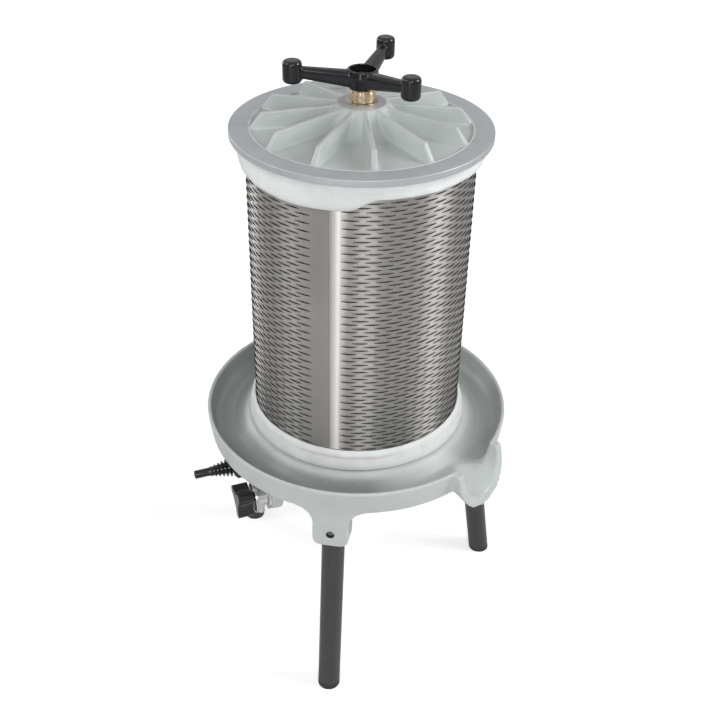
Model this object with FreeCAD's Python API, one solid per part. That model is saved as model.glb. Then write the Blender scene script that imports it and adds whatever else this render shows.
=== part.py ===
import FreeCAD
import Part
import math
import os

# Bladder fruit press on three legs. Millimetres, +Z up, floor at z = 0.
# The press axis is the Z axis. The pouring spout points towards -Y.

# Clearances
RUNNING_GAP = 0.05
SEAT_GAP = 0.3
LOOSE_GAP = 0.5

# Legs
LEG_ANGLES = {"front_left": -149.4, "front_right": -32.0, "rear": 90.0}
LEG_SPLAYS = {"front_left": 7.3, "front_right": 8.8, "rear": 8.8}
LEG_INSET = 35.55
LEG_TUBE_RADIUS = 14.0
LEG_TUBE_WALL = 2.6
LEG_INSERTION = 43.0
FOOT_CAP_HEIGHT = 6.0
FOOT_SPIGOT_LENGTH = 22.0
FOOT_EDGE_ROUND = 1.6

# Tray casting
RIM_HEIGHT = 325.0
TRAY_RADIUS = 189.5
TRAY_WALL = 5.0
TRAY_WALL_HEIGHT = 34.0
TRAY_WALL_LEAN = 4.5
TRAY_FLOOR = 5.0
GUTTER_DEPTH = 27.0
GUTTER_WIDTH = 24.0
GUTTER_FLANK = 9.0
SEAT_DEPTH = 12.0
HUB_RADIUS = 58.0
HUB_HEIGHT = 29.0
UNDER_RIB_COUNT = 6
UNDER_RIB_THICKNESS = 6.0
UNDER_RIB_HEIGHT = 14.0

# Leg sockets, cast in one with the tray
SOCKET_RADIUS = 21.7
SOCKET_DROP = 86.0
SOCKET_CORNER = 9.0
SOCKET_FRONT_THICKNESS = 30.0
SOCKET_FLARE_RADIUS = 20.0
SOCKET_FLUSH = 2.0
SET_SCREW_RISE = 17.0
SET_SCREW_RADIUS = 4.0
SET_SCREW_RECESS = 2.5
SET_SCREW_MOUTH = 5.0
HEX_KEY_RADIUS = 2.0
HEX_KEY_DEPTH = 3.0

# Pouring spout
SPOUT_WIDTH = 87.0
SPOUT_WALL = 10.3
SPOUT_STEP = 2.0
SPOUT_LIP_DEPTH = 58.0
SPOUT_FALL = 0.46
SPOUT_REACH = 3.0
SPOUT_LIP_LEAN = 0.23
SPOUT_CORNER = 38.0
SPOUT_CLEAR_ABOVE = 40.0

# Water branch: a pipe from the manifold to the hose nozzle and a tap beside it
BRANCH_ANGLE = 150.0
TAP_OFFSET = 64.0
TEE_DISTANCE = 88.0
PIPE_RADIUS = 10.65
PIPE_BORE = 8.0
PIPE_ENGAGEMENT = 10.0
FITTING_RADIUS = 16.0
FITTING_REACH = 22.0
FITTING_STEP = 1.0
ELBOW_BEND = 17.5

# Manifold below the tray hub
MANIFOLD_RADIUS = 33.0
PORT_DROP = 30.0
PORT_FLOOR = 20.0
MANIFOLD_PORT_REACH = 44.0
GASKET_THICKNESS = 2.0
MANIFOLD_BOLT_COUNT = 4
MANIFOLD_BOLT_CIRCLE = 25.0
MANIFOLD_BOLT_RADIUS = 3.0
BOLT_BITE = 12.0
BOLT_HEAD_RADIUS = 5.0
BOLT_HEAD_HEIGHT = 4.0

# Hose nozzle
NOZZLE_TIP = 215.7
NOZZLE_TIP_LENGTH = 18.0
NOZZLE_TIP_RADIUS = 5.25
NOZZLE_BORE = 3.2
NOZZLE_FIN_COUNT = 7
NOZZLE_FIN_PITCH = 4.8
NOZZLE_FIN_THICKNESS = 2.4
NOZZLE_FIRST_FIN = 6.6
NOZZLE_LAST_FIN = 13.5
NOZZLE_CORE_GROWTH = 0.45
NOZZLE_NUT_RADIUS = 17.0
NOZZLE_NUT_LENGTH = 12.0

# Drain tap
LUG_END = 138.0
LUG_LENGTH = 14.0
LUG_RADIUS = 19.0
LUG_FLARE_RADIUS = 22.0
LOCK_NUT_THICKNESS = 3.2
LOCK_NUT_RADIUS = 18.5
TAP_BODY_RADIUS = 13.0
TAP_BODY_LENGTH = 12.0
TAP_OUTLET_RADIUS = 4.5
TAP_OUTLET_LENGTH = 25.0
TAP_OUTLET_BORE = 3.0
TAP_COLLAR_RADIUS = 4.7
TAP_COLLAR_LENGTH = 13.5
BONNET_RADIUS = 19.5
BONNET_THICKNESS = 5.0
SPINDLE_RADIUS = 4.0
SPINDLE_DEPTH = 5.0
KNOB_STAND_OFF = 1.2
KNOB_DEPTH = 19.5
KNOB_LOBE_CIRCLE = 17.3
KNOB_LOBE_RADIUS = 5.9
KNOB_LOBE_COUNT = 3
KNOB_FIRST_LOBE = 17.5
KNOB_LOBE_SPREAD = 75.0
KNOB_FLANK_RADIUS = 24.5
KNOB_SCREW_RADIUS = 3.0
KNOB_SCREW_DEPTH = 3.0

# Centre column
COLUMN_RADIUS = 10.0
COLUMN_PROUD = 22.0
COLUMN_NUT_RADIUS = 17.3
COLUMN_NUT_HEIGHT = 16.0
COLUMN_TAIL = 3.0
COLUMN_WASHER_RADIUS = 20.0
COLUMN_WASHER_THICKNESS = 3.0

# Rubber bladder round the column
BLADDER_FLANGE_RADIUS = 55.0
BLADDER_WAIST_RADIUS = 44.0
BLADDER_BELLY_RADIUS = 50.0
BLADDER_WALL = 3.0
BLADDER_HEADROOM = 24.0
BLADDER_SHOULDER = 26.0
BLADDER_BELLY_ROUND = 300.0
BLADDER_SHOULDER_ROUND = 12.0
BLADDER_CROWN_ROUND = 6.0
BASE_RING_THICKNESS = 6.0
BASE_RING_SCREW_COUNT = 6
BASE_RING_SCREW_CIRCLE = 50.0
BASE_RING_SCREW_RADIUS = 2.0
BASE_RING_SCREW_HEAD = 3.4
TOP_CAP_RADIUS = 26.0
TOP_CAP_THICKNESS = 6.0
TOP_NUT_RADIUS = 17.3
TOP_NUT_HEIGHT = 6.0

# Perforated cage and its press cloth
CAGE_RADIUS = 127.0
CAGE_HEIGHT = 365.4
CAGE_SHEET = 1.0
CAGE_WIRE_RADIUS = 3.5
CAGE_WIRE_BITE = 0.5
CLOTH_THICKNESS = 1.2
CLOTH_SLACK = 6.0
CLOTH_TOP_HANG = 33.0
CLOTH_BOTTOM_TURN = 22.0
CLOTH_NECK_HEIGHT = 9.0
DRAWSTRING_RADIUS = 1.3

# Lid
LID_RADIUS = 144.0
LID_RIM_THICKNESS = 7.5
LID_PANEL_RADIUS = 121.5
LID_PANEL_DROP = 2.5
LID_WALL = 6.0
LID_HUB_RADIUS = 26.5
LID_HUB_RISE = 25.5
LID_HUB_FOOT = 22.0
LID_SPIGOT_GAP = 1.5
LID_SPIGOT_WALL = 5.0
LID_SPIGOT_DEPTH = 8.0
LID_RIB_COUNT = 12
LID_RIB_START = -134.0
LID_RIB_TOP_WIDTH = 5.0
LID_RIB_FOOT_WIDTH = 9.0
LID_RIB_SHOULDER_RADIUS = 93.0
LID_RIB_SHOULDER_HEIGHT = 14.0
LID_RIB_TOE_RADIUS = 118.0

# Star handle on its brass nut
WASHER_RADIUS = 17.0
WASHER_THICKNESS = 1.2
NUT_RADIUS = 14.0
NUT_HEIGHT = 13.6
NUT_SHANK_RADIUS = 12.5
NUT_SHANK_LENGTH = 9.0
HANDLE_HUB_RADIUS = 16.9
HANDLE_HUB_FOOT_RADIUS = 15.2
HANDLE_HUB_HEIGHT = 21.0
HANDLE_CUP_RADIUS = 13.9
HANDLE_CUP_DEPTH = 10.0
HANDLE_ARM_COUNT = 3
HANDLE_FIRST_ARM = -100.0
ARM_LENGTH = 74.5
ARM_ROOT_WIDTH = 16.0
ARM_ROOT_HEIGHT = 18.0
ARM_TIP_WIDTH = 10.0
ARM_TIP_HEIGHT = 11.5
ARM_RISE = 10.5
KNOB_RADIUS = 10.3
KNOB_HEIGHT = 24.0
KNOB_ROUND = 4.0

# Heights and radii worked out from the sizes above
SEAT_Z = RIM_HEIGHT - SEAT_DEPTH
GUTTER_Z = RIM_HEIGHT - GUTTER_DEPTH
TRAY_BOTTOM = RIM_HEIGHT - TRAY_WALL_HEIGHT
GUTTER_OUTER = TRAY_RADIUS - TRAY_WALL - TRAY_WALL_LEAN
GUTTER_INNER = GUTTER_OUTER - GUTTER_WIDTH
SOCKET_BOTTOM = RIM_HEIGHT - SOCKET_DROP
SET_SCREW_HEIGHT = SOCKET_BOTTOM + SET_SCREW_RISE
LEG_TOP = SOCKET_BOTTOM + LEG_INSERTION
LEG_HEAD_RADIUS = TRAY_RADIUS - LEG_INSET
HUB_BOTTOM = SEAT_Z - HUB_HEIGHT
MANIFOLD_TOP = HUB_BOTTOM - GASKET_THICKNESS
BRANCH_HEIGHT = MANIFOLD_TOP - PORT_DROP
MANIFOLD_BOTTOM = BRANCH_HEIGHT - PORT_FLOOR
ELBOW_REACH = ELBOW_BEND + PIPE_ENGAGEMENT + FITTING_STEP
CLOTH_LOW = SEAT_Z + SEAT_GAP
CAGE_BOTTOM = CLOTH_LOW + CLOTH_THICKNESS + SEAT_GAP
CAGE_TOP = CAGE_BOTTOM + CAGE_HEIGHT
CLOTH_HIGH = CAGE_TOP + SEAT_GAP + CLOTH_THICKNESS
CAGE_HOOP_RADIUS = CAGE_RADIUS + CAGE_WIRE_RADIUS - CAGE_WIRE_BITE
CAGE_OUTSIDE = CAGE_HOOP_RADIUS + CAGE_WIRE_RADIUS
CLOTH_INNER = CAGE_RADIUS - CAGE_SHEET - CLOTH_SLACK - CLOTH_THICKNESS
CLOTH_OUTER = CAGE_OUTSIDE + SEAT_GAP + CLOTH_THICKNESS
SEAT_RADIUS = CLOTH_OUTER + 1.5
LID_RIM_UNDERSIDE = CLOTH_HIGH + SEAT_GAP
LID_RIM_TOP = LID_RIM_UNDERSIDE + LID_RIM_THICKNESS
LID_PANEL_Z = LID_RIM_TOP - LID_PANEL_DROP
LID_HUB_TOP = LID_RIM_TOP + LID_HUB_RISE
LID_SPIGOT_RADIUS = CLOTH_INNER - LID_SPIGOT_GAP
BLADDER_TOP = LID_RIM_UNDERSIDE - BLADDER_HEADROOM
COLUMN_TOP = LID_HUB_TOP + COLUMN_PROUD
COLUMN_FOOT = MANIFOLD_BOTTOM - COLUMN_WASHER_THICKNESS - COLUMN_NUT_HEIGHT - COLUMN_TAIL
NUT_BOTTOM = LID_HUB_TOP + SEAT_GAP + WASHER_THICKNESS
HANDLE_BOTTOM = NUT_BOTTOM + NUT_HEIGHT
NOZZLE_BASE = NOZZLE_TIP - NOZZLE_TIP_LENGTH - NOZZLE_FIN_COUNT * NOZZLE_FIN_PITCH - NOZZLE_NUT_LENGTH
TAP_BODY_START = LUG_END + SEAT_GAP + LOCK_NUT_THICKNESS
TAP_BODY_END = TAP_BODY_START + TAP_BODY_LENGTH
KNOB_START = TAP_BODY_END + BONNET_THICKNESS + KNOB_STAND_OFF

UP = FreeCAD.Vector(0, 0, 1)
ORIGIN = FreeCAD.Vector(0, 0, 0)


def vector(x, y, z):
    return FreeCAD.Vector(x, y, z)


def upright(u, v):
    """Place of an outline point in the XZ plane."""
    return vector(u, 0, v)


def flat(u, v):
    """Place of an outline point in the XY plane."""
    return vector(u, v, 0)


def across(u, v):
    """Place of an outline point in the YZ plane."""
    return vector(0, u, v)


def outline(corners, place):
    """Closed wire through corners of (u, v, rounding radius)."""
    starts = []
    ends = []
    middles = []
    count = len(corners)
    for index, (u, v, radius) in enumerate(corners):
        here = place(u, v)
        before = place(*corners[index - 1][:2])
        after = place(*corners[(index + 1) % count][:2])
        back = (before - here).normalize()
        ahead = (after - here).normalize()
        if radius == 0:
            starts.append(here)
            ends.append(here)
            middles.append(None)
            continue
        half_angle = back.getAngle(ahead) / 2
        inset = radius / math.tan(half_angle)
        bisector = (back + ahead).normalize()
        centre = here + bisector * (radius / math.sin(half_angle))
        starts.append(here + back * inset)
        ends.append(here + ahead * inset)
        middles.append(centre - bisector * radius)
    edges = []
    for index in range(count):
        if middles[index] is not None:
            arc = Part.Arc(starts[index], middles[index], ends[index])
            edges.append(arc.toShape())
        following = starts[(index + 1) % count]
        if ends[index].distanceToPoint(following) > 1e-6:
            edges.append(Part.makeLine(ends[index], following))
    return Part.Wire(edges)


def revolved(corners):
    """Solid of revolution about Z from (radius, height, rounding) corners."""
    face = Part.Face(outline(corners, upright))
    return face.revolve(ORIGIN, UP, 360)


def cylinder(radius, low, high, x=0.0, y=0.0):
    """Upright cylinder between two heights."""
    return Part.makeCylinder(radius, high - low, vector(x, y, low))


def rod(radius, start, end):
    """Cylinder from one point to another."""
    axis = end - start
    return Part.makeCylinder(radius, axis.Length, start, axis)


def hexagon(circle_radius, low, high):
    """Upright hexagonal prism."""
    points = []
    for corner in range(7):
        angle = math.radians(60 * corner)
        points.append(vector(circle_radius * math.cos(angle), circle_radius * math.sin(angle), low))
    return Part.Face(Part.makePolygon(points)).extrude(vector(0, 0, high - low))


def turned(shape, angle):
    """Copy of a shape turned about the press axis."""
    copy = shape.copy()
    copy.rotate(ORIGIN, UP, angle)
    return copy


def around(shape, count, start=0.0):
    """Copies of a shape spaced evenly round the press axis."""
    return [turned(shape, start + 360.0 * index / count) for index in range(count)]


def leg_slope(place):
    """Sideways run of a leg for each unit of height."""
    return math.tan(math.radians(LEG_SPLAYS[place]))


def leg_radius_at(height, place):
    """Distance of a leg's axis from the press axis at a height."""
    return LEG_HEAD_RADIUS + (TRAY_BOTTOM - height) * leg_slope(place)


def along_leg(height, place):
    """Distance along a leg's axis at a height above the floor."""
    return height / math.cos(math.radians(LEG_SPLAYS[place]))


def on_leg(shape, place):
    """Moves a shape built upright on the origin on to a leg's leaning axis, the leg still along +X."""
    placed = shape.copy()
    placed.rotate(ORIGIN, vector(0, 1, 0), -LEG_SPLAYS[place])
    placed.translate(vector(leg_radius_at(0, place), 0, 0))
    return placed


def on_branch(shape):
    """Turns a shape built along +X on to the water branch."""
    return turned(shape, BRANCH_ANGLE)


def branch_point(distance, offset=0.0, rise=0.0):
    """Point on the water branch before it is turned to its angle."""
    return vector(distance, offset, BRANCH_HEIGHT + rise)


def make_tray_dish():
    """Seat, gutter, wall and rim as one turned section."""
    wall_foot = TRAY_RADIUS - TRAY_WALL_LEAN
    corners = [
        (COLUMN_RADIUS + RUNNING_GAP, SEAT_Z, 0),
        (SEAT_RADIUS, SEAT_Z, 5),
        (GUTTER_INNER, GUTTER_Z, 12),
        (GUTTER_OUTER, GUTTER_Z, 10),
        (TRAY_RADIUS - TRAY_WALL, RIM_HEIGHT, 2.3),
        (TRAY_RADIUS, RIM_HEIGHT, 2.3),
        (wall_foot, TRAY_BOTTOM, 3),
        (GUTTER_INNER - GUTTER_FLANK, TRAY_BOTTOM, 8),
        (SEAT_RADIUS - GUTTER_FLANK, SEAT_Z - TRAY_FLOOR, 8),
        (HUB_RADIUS, SEAT_Z - TRAY_FLOOR, 5),
        (HUB_RADIUS, HUB_BOTTOM, 2),
        (COLUMN_RADIUS + RUNNING_GAP, HUB_BOTTOM, 0),
    ]
    return revolved(corners)


def make_under_ribs():
    """Stiffening ribs below the seat, between hub and gutter."""
    length = GUTTER_INNER - HUB_RADIUS
    low = SEAT_Z - TRAY_FLOOR - UNDER_RIB_HEIGHT
    height = UNDER_RIB_HEIGHT + TRAY_FLOOR / 2
    corner = vector(HUB_RADIUS - 2, -UNDER_RIB_THICKNESS / 2, low)
    rib = Part.makeBox(length, UNDER_RIB_THICKNESS, height, corner)
    return around(rib, UNDER_RIB_COUNT, 30.0)


def hanging_outline(half_width, low, corner, flare, top):
    """Front view of a boss below the tray, round at its foot, its sides flaring into the tray."""
    wing = half_width + flare
    corners = [
        (-wing, top, 0),
        (-wing, TRAY_BOTTOM, 0),
        (-half_width, TRAY_BOTTOM, flare),
        (-half_width, low, corner),
        (half_width, low, corner),
        (half_width, TRAY_BOTTOM, flare),
        (wing, TRAY_BOTTOM, 0),
        (wing, top, 0),
    ]
    return Part.Face(outline(corners, across))


def make_socket(place):
    """One leg socket along +X: a leaning sleeve with a front that continues the tray wall."""
    sleeve = rod(
        SOCKET_RADIUS,
        vector(leg_radius_at(SOCKET_BOTTOM, place), 0, SOCKET_BOTTOM),
        vector(leg_radius_at(TRAY_BOTTOM, place), 0, TRAY_BOTTOM),
    )
    top = TRAY_BOTTOM + TRAY_FLOOR / 2
    front = hanging_outline(SOCKET_RADIUS, SOCKET_BOTTOM, SOCKET_CORNER, SOCKET_FLARE_RADIUS, top)
    wall_foot = TRAY_RADIUS - TRAY_WALL_LEAN
    inner = wall_foot - SOCKET_FRONT_THICKNESS
    front.translate(vector(inner, 0, 0))
    front = front.extrude(vector(SOCKET_FRONT_THICKNESS + TRAY_WALL_LEAN, 0, 0))
    envelope = revolved(
        [
            (inner - 5, SOCKET_BOTTOM - 1, 0),
            (wall_foot + SOCKET_FLUSH, SOCKET_BOTTOM - 1, 0),
            (wall_foot, TRAY_BOTTOM, 0),
            (wall_foot, TRAY_BOTTOM + TRAY_FLOOR, 0),
            (inner - 5, TRAY_BOTTOM + TRAY_FLOOR, 0),
        ]
    )
    return sleeve.fuse(front.common(envelope))


def make_socket_bore(place):
    """Blind bore of a leg socket along +X."""
    low = along_leg(SOCKET_BOTTOM, place) - 30
    high = along_leg(LEG_TOP, place) + SEAT_GAP
    return on_leg(cylinder(LEG_TUBE_RADIUS + SEAT_GAP, low, high), place)


def make_set_screw_hole(place):
    """Level hole through the front of a socket into its bore."""
    start = vector(leg_radius_at(SET_SCREW_HEIGHT, place), 0, SET_SCREW_HEIGHT)
    end = vector(TRAY_RADIUS + SOCKET_FLUSH, 0, SET_SCREW_HEIGHT)
    hole = rod(SET_SCREW_RADIUS + RUNNING_GAP, start, end)
    mouth_start = vector(TRAY_RADIUS - TRAY_WALL_LEAN - SET_SCREW_RECESS, 0, SET_SCREW_HEIGHT)
    return hole.fuse(rod(SET_SCREW_MOUTH, mouth_start, end))


def spout_outline(half_width, low, corner):
    """Trough section across the spout, open upwards past the rim."""
    top = RIM_HEIGHT + SPOUT_CLEAR_ABOVE
    return [
        (-half_width, top, 0),
        (-half_width, low, corner),
        (half_width, low, corner),
        (half_width, top, 0),
    ]


def make_spout():
    """Cast chute outside the rim. Returns the chute and the channel cut through it."""
    lip_top = RIM_HEIGHT - SPOUT_STEP
    lip_bottom = lip_top - SPOUT_LIP_DEPTH
    lip_y = TRAY_RADIUS + SPOUT_REACH
    foot_y = lip_y + SPOUT_LIP_DEPTH * SPOUT_LIP_LEAN
    root_y = GUTTER_INNER
    run = foot_y - root_y
    rise = run * SPOUT_FALL
    half = SPOUT_WIDTH / 2
    slide = vector(0, -run - 10, -(run + 10) * SPOUT_FALL)
    outer = Part.Face(outline(spout_outline(half, lip_bottom + rise, SPOUT_CORNER), upright))
    outer.translate(vector(0, -root_y, 0))
    outer = outer.extrude(slide)
    side = Part.makePolygon(
        [
            vector(-half, -root_y, lip_top),
            vector(-half, -lip_y, lip_top),
            vector(-half, -foot_y, lip_bottom),
            vector(-half, -foot_y, lip_bottom - 5),
            vector(-half, -root_y, lip_bottom - 5),
            vector(-half, -root_y, lip_top),
        ]
    )
    outer = outer.common(Part.Face(side).extrude(vector(SPOUT_WIDTH, 0, 0)))
    channel_low = lip_bottom + rise + SPOUT_WALL
    channel = Part.Face(
        outline(spout_outline(half - SPOUT_WALL, channel_low, SPOUT_CORNER - SPOUT_WALL / 2), upright)
    )
    channel.translate(vector(0, -root_y, 0))
    return outer, channel.extrude(slide)


def make_tap_lug():
    """Boss that hangs from the tray and holds the tap's shank."""
    top = SEAT_Z - TRAY_FLOOR / 2
    lug = hanging_outline(LUG_RADIUS, BRANCH_HEIGHT - LUG_RADIUS, LUG_RADIUS, LUG_FLARE_RADIUS, top)
    lug.translate(vector(LUG_END - LUG_LENGTH, TAP_OFFSET, 0))
    return on_branch(lug.extrude(vector(LUG_LENGTH, 0, 0)))


def make_tray():
    """The whole tray casting."""
    tray = make_tray_dish()
    spout, channel = make_spout()
    tray = tray.multiFuse(make_under_ribs() + [spout, make_tap_lug()])
    inner_space = revolved(
        [
            (GUTTER_INNER, GUTTER_Z, 12),
            (GUTTER_OUTER, GUTTER_Z, 10),
            (TRAY_RADIUS - TRAY_WALL, RIM_HEIGHT, 0),
            (TRAY_RADIUS - TRAY_WALL, RIM_HEIGHT + 20, 0),
            (SEAT_RADIUS, RIM_HEIGHT + 20, 0),
            (SEAT_RADIUS, SEAT_Z, 0),
        ]
    )
    tray = tray.cut(inner_space).cut(channel)
    tray = tray.multiFuse([turned(make_socket(place), angle) for place, angle in LEG_ANGLES.items()])
    cuts = [turned(make_socket_bore(place), angle) for place, angle in LEG_ANGLES.items()]
    cuts += [turned(make_set_screw_hole(place), angle) for place, angle in LEG_ANGLES.items()]
    shank_start = branch_point(LUG_END - LUG_LENGTH - 5, TAP_OFFSET)
    cuts.append(on_branch(rod(PIPE_RADIUS + SEAT_GAP, shank_start, branch_point(LUG_END + 1, TAP_OFFSET))))
    bolt_hole = cylinder(
        MANIFOLD_BOLT_RADIUS + RUNNING_GAP, HUB_BOTTOM - 1, HUB_BOTTOM + BOLT_BITE + 1, MANIFOLD_BOLT_CIRCLE
    )
    cuts += around(bolt_hole, MANIFOLD_BOLT_COUNT, 45.0)
    screw_hole = cylinder(
        BASE_RING_SCREW_RADIUS + RUNNING_GAP, SEAT_Z - BOLT_BITE - 1, SEAT_Z + 1, BASE_RING_SCREW_CIRCLE
    )
    cuts += around(screw_hole, BASE_RING_SCREW_COUNT)
    return tray.cut(cuts).removeSplitter()


def make_leg(place):
    """Steel leg tube from its foot cap into the tray socket."""
    low = FOOT_CAP_HEIGHT
    high = along_leg(LEG_TOP, place)
    tube = cylinder(LEG_TUBE_RADIUS, low, high).cut(cylinder(LEG_TUBE_RADIUS - LEG_TUBE_WALL, low - 1, high + 1))
    return turned(on_leg(tube, place), LEG_ANGLES[place])


def make_foot(place):
    """Plastic end plug of a leg, cut level with the floor."""
    corners = [
        (0, -10, 0),
        (LEG_TUBE_RADIUS, -10, 0),
        (LEG_TUBE_RADIUS, FOOT_CAP_HEIGHT, FOOT_EDGE_ROUND),
        (LEG_TUBE_RADIUS - LEG_TUBE_WALL - RUNNING_GAP, FOOT_CAP_HEIGHT, 0),
        (LEG_TUBE_RADIUS - LEG_TUBE_WALL - RUNNING_GAP, FOOT_CAP_HEIGHT + FOOT_SPIGOT_LENGTH, 1),
        (0, FOOT_CAP_HEIGHT + FOOT_SPIGOT_LENGTH, 0),
    ]
    plug = on_leg(revolved(corners), place)
    side = 4 * LEG_TUBE_RADIUS
    floor = Part.makeBox(side, side, side, vector(leg_radius_at(0, place) - side / 2, -side / 2, -side))
    return turned(plug.cut(floor), LEG_ANGLES[place])


def make_set_screw(place):
    """Grub screw that holds a leg in its socket."""
    lean = math.radians(LEG_SPLAYS[place])
    tube_face = leg_radius_at(SET_SCREW_HEIGHT, place) + LEG_TUBE_RADIUS / math.cos(lean)
    start = tube_face + SET_SCREW_RADIUS * math.tan(lean) + SEAT_GAP / 2
    end = TRAY_RADIUS - TRAY_WALL_LEAN - SET_SCREW_RECESS
    screw = rod(SET_SCREW_RADIUS, vector(start, 0, SET_SCREW_HEIGHT), vector(end, 0, SET_SCREW_HEIGHT))
    key = hexagon(HEX_KEY_RADIUS, 0, HEX_KEY_DEPTH + 1)
    key.rotate(ORIGIN, vector(0, 1, 0), 90)
    key.translate(vector(end - HEX_KEY_DEPTH, 0, SET_SCREW_HEIGHT))
    return turned(screw.cut(key), LEG_ANGLES[place])


def make_manifold():
    """Round block below the hub that joins the branch pipe to the column's foot."""
    block = cylinder(MANIFOLD_RADIUS, MANIFOLD_BOTTOM, MANIFOLD_TOP)
    port = on_branch(rod(FITTING_RADIUS, branch_point(0), branch_point(MANIFOLD_PORT_REACH)))
    socket_start = MANIFOLD_PORT_REACH - PIPE_ENGAGEMENT
    socket = rod(PIPE_RADIUS + RUNNING_GAP, branch_point(socket_start), branch_point(MANIFOLD_PORT_REACH + 1))
    passage = rod(PIPE_BORE, branch_point(0), branch_point(socket_start + 1))
    column = cylinder(COLUMN_RADIUS + RUNNING_GAP, MANIFOLD_BOTTOM - 1, MANIFOLD_TOP + 1)
    bolt = cylinder(MANIFOLD_BOLT_RADIUS + SEAT_GAP, MANIFOLD_BOTTOM - 1, MANIFOLD_TOP + 1, MANIFOLD_BOLT_CIRCLE)
    cuts = [on_branch(socket), on_branch(passage), column] + around(bolt, MANIFOLD_BOLT_COUNT, 45.0)
    return block.fuse(port).cut(cuts).removeSplitter()


def make_manifold_gasket():
    """Rubber ring between hub and manifold."""
    ring = cylinder(MANIFOLD_RADIUS, MANIFOLD_TOP, HUB_BOTTOM)
    bolt = cylinder(MANIFOLD_BOLT_RADIUS + SEAT_GAP, MANIFOLD_TOP - 1, HUB_BOTTOM + 1, MANIFOLD_BOLT_CIRCLE)
    holes = around(bolt, MANIFOLD_BOLT_COUNT, 45.0)
    holes.append(cylinder(COLUMN_RADIUS + SEAT_GAP, MANIFOLD_TOP - 1, HUB_BOTTOM + 1))
    return ring.cut(holes)


def make_manifold_bolts():
    """Bolts that hold the manifold up to the hub."""
    shank = cylinder(MANIFOLD_BOLT_RADIUS, MANIFOLD_BOTTOM, HUB_BOTTOM + BOLT_BITE, MANIFOLD_BOLT_CIRCLE)
    head = cylinder(BOLT_HEAD_RADIUS, MANIFOLD_BOTTOM - BOLT_HEAD_HEIGHT, MANIFOLD_BOTTOM, MANIFOLD_BOLT_CIRCLE)
    return Part.makeCompound(around(shank.fuse(head).removeSplitter(), MANIFOLD_BOLT_COUNT, 45.0))


def make_column():
    """Threaded steel rod that ties lid and tray together."""
    corners = [
        (0, COLUMN_FOOT, 0),
        (COLUMN_RADIUS, COLUMN_FOOT, 1.5),
        (COLUMN_RADIUS, COLUMN_TOP, 1.5),
        (0, COLUMN_TOP, 0),
    ]
    return revolved(corners)


def make_column_washer():
    """Washer below the manifold."""
    low = MANIFOLD_BOTTOM - COLUMN_WASHER_THICKNESS
    washer = cylinder(COLUMN_WASHER_RADIUS, low, MANIFOLD_BOTTOM)
    return washer.cut(cylinder(COLUMN_RADIUS + SEAT_GAP, low - 1, MANIFOLD_BOTTOM + 1))


def make_column_nut():
    """Hexagon nut at the column's foot."""
    high = MANIFOLD_BOTTOM - COLUMN_WASHER_THICKNESS
    nut = hexagon(COLUMN_NUT_RADIUS, high - COLUMN_NUT_HEIGHT, high)
    return nut.cut(cylinder(COLUMN_RADIUS + RUNNING_GAP, high - COLUMN_NUT_HEIGHT - 1, high + 1))


def make_bladder():
    """Rubber membrane with a foot flange, a slight belly and a closed collar at the top."""
    top = BLADDER_TOP
    middle = (SEAT_Z + top) / 2
    shoulder = top - BLADDER_SHOULDER
    neck = COLUMN_RADIUS + SEAT_GAP
    wall = BLADDER_WALL
    low = SEAT_Z + SEAT_GAP
    corners = [
        (BLADDER_WAIST_RADIUS - wall, low, 0),
        (BLADDER_FLANGE_RADIUS, low, 0),
        (BLADDER_FLANGE_RADIUS, low + wall, 0),
        (BLADDER_WAIST_RADIUS, low + wall, 2),
        (BLADDER_BELLY_RADIUS, middle, BLADDER_BELLY_ROUND),
        (BLADDER_WAIST_RADIUS, shoulder, BLADDER_SHOULDER_ROUND),
        (TOP_CAP_RADIUS, top, BLADDER_CROWN_ROUND),
        (neck, top, 0),
        (neck, top - wall, 0),
        (TOP_CAP_RADIUS - wall, top - wall, BLADDER_CROWN_ROUND - wall / 3),
        (BLADDER_WAIST_RADIUS - wall, shoulder, BLADDER_SHOULDER_ROUND - wall / 2),
        (BLADDER_BELLY_RADIUS - wall, middle, BLADDER_BELLY_ROUND),
    ]
    return revolved(corners)


def make_base_ring():
    """Steel ring that clamps the bladder's foot flange to the seat."""
    low = SEAT_Z + SEAT_GAP + BLADDER_WALL + SEAT_GAP
    high = low + BASE_RING_THICKNESS
    inner = BLADDER_WAIST_RADIUS + 2.5
    ring = revolved(
        [(inner, low, 0), (BLADDER_FLANGE_RADIUS, low, 0), (BLADDER_FLANGE_RADIUS, high, 1.5), (inner, high, 1.5)]
    )
    hole = cylinder(BASE_RING_SCREW_RADIUS + RUNNING_GAP, low - 1, high + 1, BASE_RING_SCREW_CIRCLE)
    return ring.cut(around(hole, BASE_RING_SCREW_COUNT))


def make_base_ring_screws():
    """Screws through ring and flange into the hub."""
    seat = SEAT_Z + SEAT_GAP + BLADDER_WALL + SEAT_GAP + BASE_RING_THICKNESS
    shank = cylinder(BASE_RING_SCREW_RADIUS, SEAT_Z - BOLT_BITE, seat, BASE_RING_SCREW_CIRCLE)
    head = cylinder(BASE_RING_SCREW_HEAD, seat, seat + BASE_RING_SCREW_RADIUS, BASE_RING_SCREW_CIRCLE)
    return Part.makeCompound(around(shank.fuse(head).removeSplitter(), BASE_RING_SCREW_COUNT))


def make_bladder_with_holes():
    """Bladder with the screw holes of its foot flange."""
    hole = cylinder(
        BASE_RING_SCREW_RADIUS + SEAT_GAP, SEAT_Z - 1, SEAT_Z + BLADDER_WALL + 2, BASE_RING_SCREW_CIRCLE
    )
    return make_bladder().cut(around(hole, BASE_RING_SCREW_COUNT))


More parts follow.
